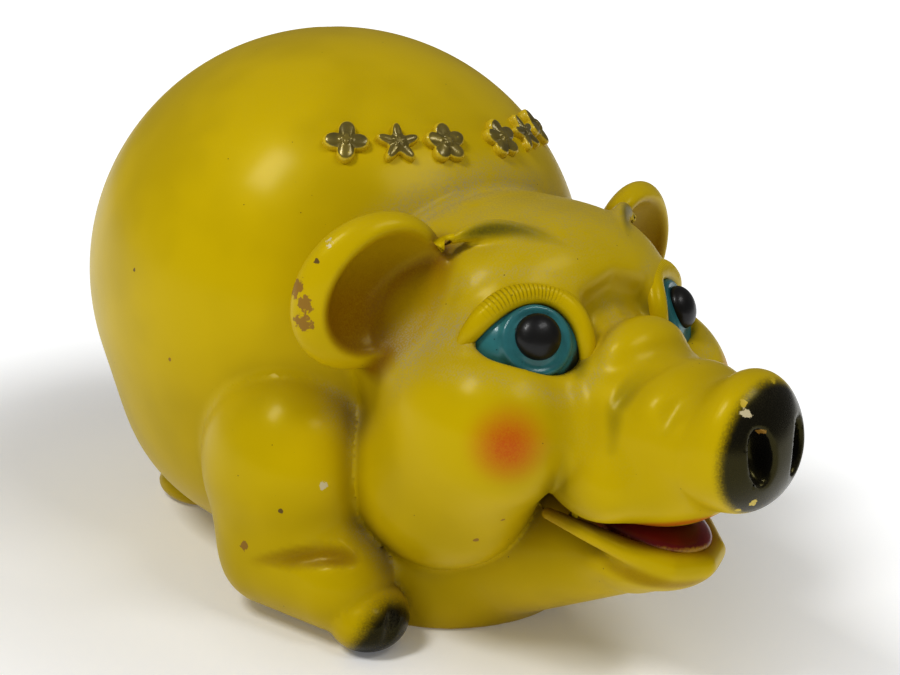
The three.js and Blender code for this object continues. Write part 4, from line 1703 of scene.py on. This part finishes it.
@dataclass
class Ornaments:
    """The six gilt ornaments in a row round the front of the back.

    Attributes:
        form: The pig's form.
        shop: Where pieces are finished.
        size: Width of an ornament.
        gap: Space between neighbours.
        height: Thickness of an ornament, from its foot in the lacquer to its top.
        rise: The row's height on the torso, as an angle in degrees.
        row: The ornaments with their places in steps from the middle of the row.
    """

    form: PigForm
    shop: Workshop
    size: float = 15.0
    gap: float = 1.5
    height: float = 5.4
    rise: float = 41.5
    row: tuple[tuple[str, Blossom, float], ...] = (
        ("gilt_clover_1", Blossom.CLOVER, -2.75),
        ("gilt_star_2", Blossom.STAR, -1.75),
        ("gilt_blossom_3", Blossom.BLOSSOM, -0.75),
        ("gilt_blossom_4", Blossom.BLOSSOM, 0.75),
        ("gilt_star_5", Blossom.STAR, 1.75),
        ("gilt_clover_6", Blossom.CLOVER, 2.75),
    )

    def build(self, gilt: bpy.types.Material) -> None:
        """Presses each ornament and sets it on the torso."""
        recipe = ornament_recipe(gilt)
        for node, kind, place in self.row:
            outline = kind.value
            values = {
                "Radius": self.size / 2 * MM,
                "Height": self.height * MM,
                "Points": float(outline.points),
                "Inner": outline.inner,
                "Roundness": outline.roundness,
                "Crease": outline.crease,
            }
            made = recipe.run("pressed_" + node, np.zeros((2, 3)), values)
            made.data.transform(self._frame(place))
            self.shop.enter(made, BODY, "gilt_paint", node)

    def _frame(self, place: float) -> Matrix:
        """The frame of the ornament at a place in the row, its Z pointing out of the torso."""
        level = math.cos(math.radians(self.rise))
        turn = place * (self.size + self.gap) / (self.form.torso_radii[0] * level)
        out = Vector((math.sin(turn) * level, -math.cos(turn) * level, math.sin(math.radians(self.rise))))
        side = Vector((0, 0, 1)).cross(out).normalized()
        up = out.cross(side)
        foot = Vector((0, 0, self.form.torso_height)) + out * self._reach(out)
        turned = Matrix((side, up, out)).transposed().to_4x4()
        return Matrix.Translation(self.shop.origin + foot * MM) @ turned

    def _reach(self, out: Vector) -> float:
        """Distance from the torso's middle to its skin in a direction."""
        return 1.0 / math.sqrt(sum((v / r) ** 2 for v, r in zip(out, self.form.torso_radii)))


@dataclass
class Stopper:
    """The rubber stopper in the belly: a flange with a ring to lift it by, and a ribbed plug.

    Attributes:
        shop: Where pieces are finished.
        centre_y: Where it lies along the pig.
        face: Height of the flange's face over the table.
        flange_radius: Radius of the flange.
        flange_depth: Thickness of the flange.
        plug_radius: Radius of the plug.
        plug_length: Length of the plug.
        rib: How far a rib stands out of the plug.
        segments: How many faces go round.
    """

    shop: Workshop
    centre_y: float
    face: float = 1.3
    flange_radius: float = 18.7
    flange_depth: float = 2.6
    plug_radius: float = 13.1
    plug_length: float = 14.0
    rib: float = 0.6
    segments: int = 96

    def profile(self) -> list[tuple[float, float]]:
        """The stopper's half outline, from the middle of its face to the middle of its top."""
        face, top = self.face, self.face + self.flange_depth
        outline = [(0.0, face + 1.2), (8.2, face + 1.2), (9.0, face + 0.9), (10.0, face), (10.6, face)]
        outline += [(11.4, face + 0.35), (12.2, face), (self.flange_radius - 0.9, face)]
        outline += [(self.flange_radius, face + 0.9), (self.flange_radius, top - 0.4)]
        outline += [(self.flange_radius - 0.5, top)]
        outline += [(self.plug_radius + 0.5, top), (self.plug_radius, top + 0.5)]
        ribs, pitch = 3, (self.plug_length - 4.0) / 3
        for number in range(ribs):
            start = top + 1.2 + number * pitch
            outline += [(self.plug_radius, start), (self.plug_radius + self.rib, start + 0.5)]
            outline += [(self.plug_radius + self.rib, start + 1.0), (self.plug_radius, start + 2.1)]
        end = top + self.plug_length
        return outline + [(self.plug_radius - 0.2, end - 1.2), (self.plug_radius - 1.4, end), (0.0, end)]

    def build(self, rubber: bpy.types.Material) -> None:
        """Turns the stopper."""
        outline = self.profile()
        turns = np.linspace(0, 2 * math.pi, self.segments, endpoint=False)
        circle = np.stack([np.cos(turns), np.sin(turns), np.zeros(self.segments)], 1)
        rings = [circle * radius + (0.0, self.centre_y, z) for radius, z in outline[1:-1]]
        poles = [[0.0, self.centre_y, outline[0][1]], [0.0, self.centre_y, outline[-1][1]]]
        points = np.vstack([*rings, poles])
        count, last = self.segments, len(rings) - 1
        foot, head = len(points) - 2, len(points) - 1
        faces = []
        for i in range(count):
            j = (i + 1) % count
            faces.append((foot, j, i))
            starts = [ring * count for ring in range(last)]
            faces += [(s + i, s + j, s + count + j, s + count + i) for s in starts]
            faces.append((last * count + i, last * count + j, head))
        made = self.shop.piece("rubber_stopper", points, faces, rubber)
        made.data.set_sharp_from_angle(angle=math.radians(35))
        self.shop.enter(made, STOPPER, "dark_rubber", "stopper")


# ---- Studio ----------------------------------------------------------------------------------------


@dataclass
class Studio:
    """A plain pale floor that glows, two soft boxes, pale surroundings and the camera.

    Attributes:
        origin: Where the pig's own origin lies in the part, in metres.
        eye: The camera's place, in the pig's frame in millimetres.
        turn: The camera's turn round the pig, from straight ahead of it, in degrees.
        rise: Its height over the pig, as an angle in degrees.
        roll: Its roll in degrees.
        lens: Its focal length on a 36 mm sensor.
    """

    origin: Vector
    eye: Point = (-336.55, -419.24, 235.60)
    turn: float = -43.35
    rise: float = 17.05
    roll: float = 4.29
    lens: float = 59.52

    def build(self) -> None:
        """Sets everything up."""
        self._camera()
        self._floor()
        self._world()
        self._soft_box("window_box", (-0.615, 0.019, 0.773), 1.25, (0.24, 0.38), 5.9)
        self._soft_box("ceiling_box", (0.114, -0.559, 0.813), 1.3, (0.6, 0.3), 3.8)

    def _camera(self) -> None:
        """Places the camera."""
        a, e, r = (math.radians(v) for v in (self.turn, self.rise, self.roll))
        back = Vector((math.sin(a) * math.cos(e), -math.cos(a) * math.cos(e), math.sin(e)))
        right = Vector((math.cos(a), math.sin(a), 0.0))
        up = back.cross(right)
        tilted = right * math.cos(r) + up * math.sin(r)
        upright = up * math.cos(r) - right * math.sin(r)
        data = bpy.data.cameras.new("studio_camera")
        data.lens, data.sensor_width = self.lens, 36.0
        camera = bpy.data.objects.new("studio_camera", data)
        turned = Matrix((tilted, upright, back)).transposed().to_4x4()
        camera.matrix_world = Matrix.Translation(self.origin + Vector(self.eye) * MM) @ turned
        bpy.context.scene.collection.objects.link(camera)
        bpy.context.scene.camera = camera

    def _floor(self) -> None:
        """Lays the floor, which glows as painted light."""
        half = 6.0
        mesh = bpy.data.meshes.new("studio_floor")
        corners = [(-half, -half, 0), (half, -half, 0), (half, half, 0), (-half, half, 0)]
        mesh.from_pydata(corners, [], [(0, 1, 2, 3)])
        g = Finish("glowing_pale_floor")
        tone = g.mix((0.93, 0.93, 0.925), (0.9, 0.9, 0.895), g.noise(180.0))
        # The floor glows as painted light: dim near the pig, so that its shadow still shows, and brighter
        # further off; the glow also lights the pig from below.
        away = g.away(self.origin)
        glow = g.mix((0.1, 0.1, 0.105), (0.5, 0.51, 0.52), away.ramp(125.0, 290.0))
        glow = g.mix(glow, (0.8, 0.8, 0.8), away.ramp(250.0, 1100.0))
        lit = {"Emission Color": glow, "Emission Strength": 1.0, "Specular IOR Level": 0.1}
        mesh.materials.append(g.end(tone, 0.8, g.noise(3.0), 0.02, **lit))
        floor = bpy.data.objects.new("studio_floor", mesh)
        bpy.context.scene.collection.objects.link(floor)
        floor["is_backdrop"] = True

    @staticmethod
    def _world() -> None:
        """Makes the pale surroundings."""
        world = bpy.data.worlds.new("studio_surroundings")
        world.use_nodes = True
        sky = world.node_tree.nodes["Background"]
        sky.inputs["Color"].default_value = (1.0, 0.99, 0.97, 1.0)
        sky.inputs["Strength"].default_value = 0.14
        bpy.context.scene.world = world
        bpy.context.scene.view_settings.view_transform = "Standard"
        bpy.context.scene.view_settings.look = "Medium High Contrast"

    def _soft_box(
        self,
        name: str,
        direction: Point,
        distance: float,
        size: tuple[float, float],
        power: float,
    ) -> None:
        """Hangs a soft box that faces the pig."""
        data = bpy.data.lights.new(name, "AREA")
        data.shape, data.energy = "RECTANGLE", power
        data.size, data.size_y = size
        lamp = bpy.data.objects.new(name, data)
        middle = self.origin + Vector((0, -20, 95)) * MM
        away = Vector(direction).normalized()
        turned = away.to_track_quat("Z", "Y").to_matrix().to_4x4()
        lamp.matrix_world = Matrix.Translation(middle + away * distance) @ turned
        bpy.context.scene.collection.objects.link(lamp)


def write_sizes() -> None:
    """Writes the CAD model's box and the finished model's box, to compare."""
    boxes = {"cad": CAD_BOX, "visual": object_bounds()}
    plain = {name: [[float(v) for v in corner] for corner in box] for name, box in boxes.items()}
    log.info("sizes: %s", plain)


def main() -> None:
    """Builds the pig, piece by piece, and the studio round it."""
    logging.basicConfig(level=logging.INFO, format="%(relativeCreated)6d ms: %(message)s")
    form = PigForm()
    low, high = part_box("stopper")
    origin = Vector((0.0, (low.y + high.y) / 2 - form.bore_y * MM, 0.0))
    shop = Workshop(origin)
    yellow = Lacquer(origin).material("yellow_lacquer_finish")
    teal = TEAL.material("teal_lacquer_finish")
    black = BLACK.material("black_lacquer_finish")
    red = RED.material("red_lacquer_finish")
    gilt = GILT.material("gilt_paint_finish")
    rubber = RUBBER.material("dark_rubber_finish")
    sweep = sweep_recipe(yellow)
    Studio(origin).build()
    Castings(form, shop).build(yellow)
    Tail(shop).build(sweep, yellow)
    Eyes(form, shop).build(teal, black, sweep)
    Tongue(shop).build(red)
    Ornaments(form, shop).build(gilt)
    Stopper(shop, form.bore_y).build(rubber)
    write_sizes()


if __name__ == "__main__":
    main()
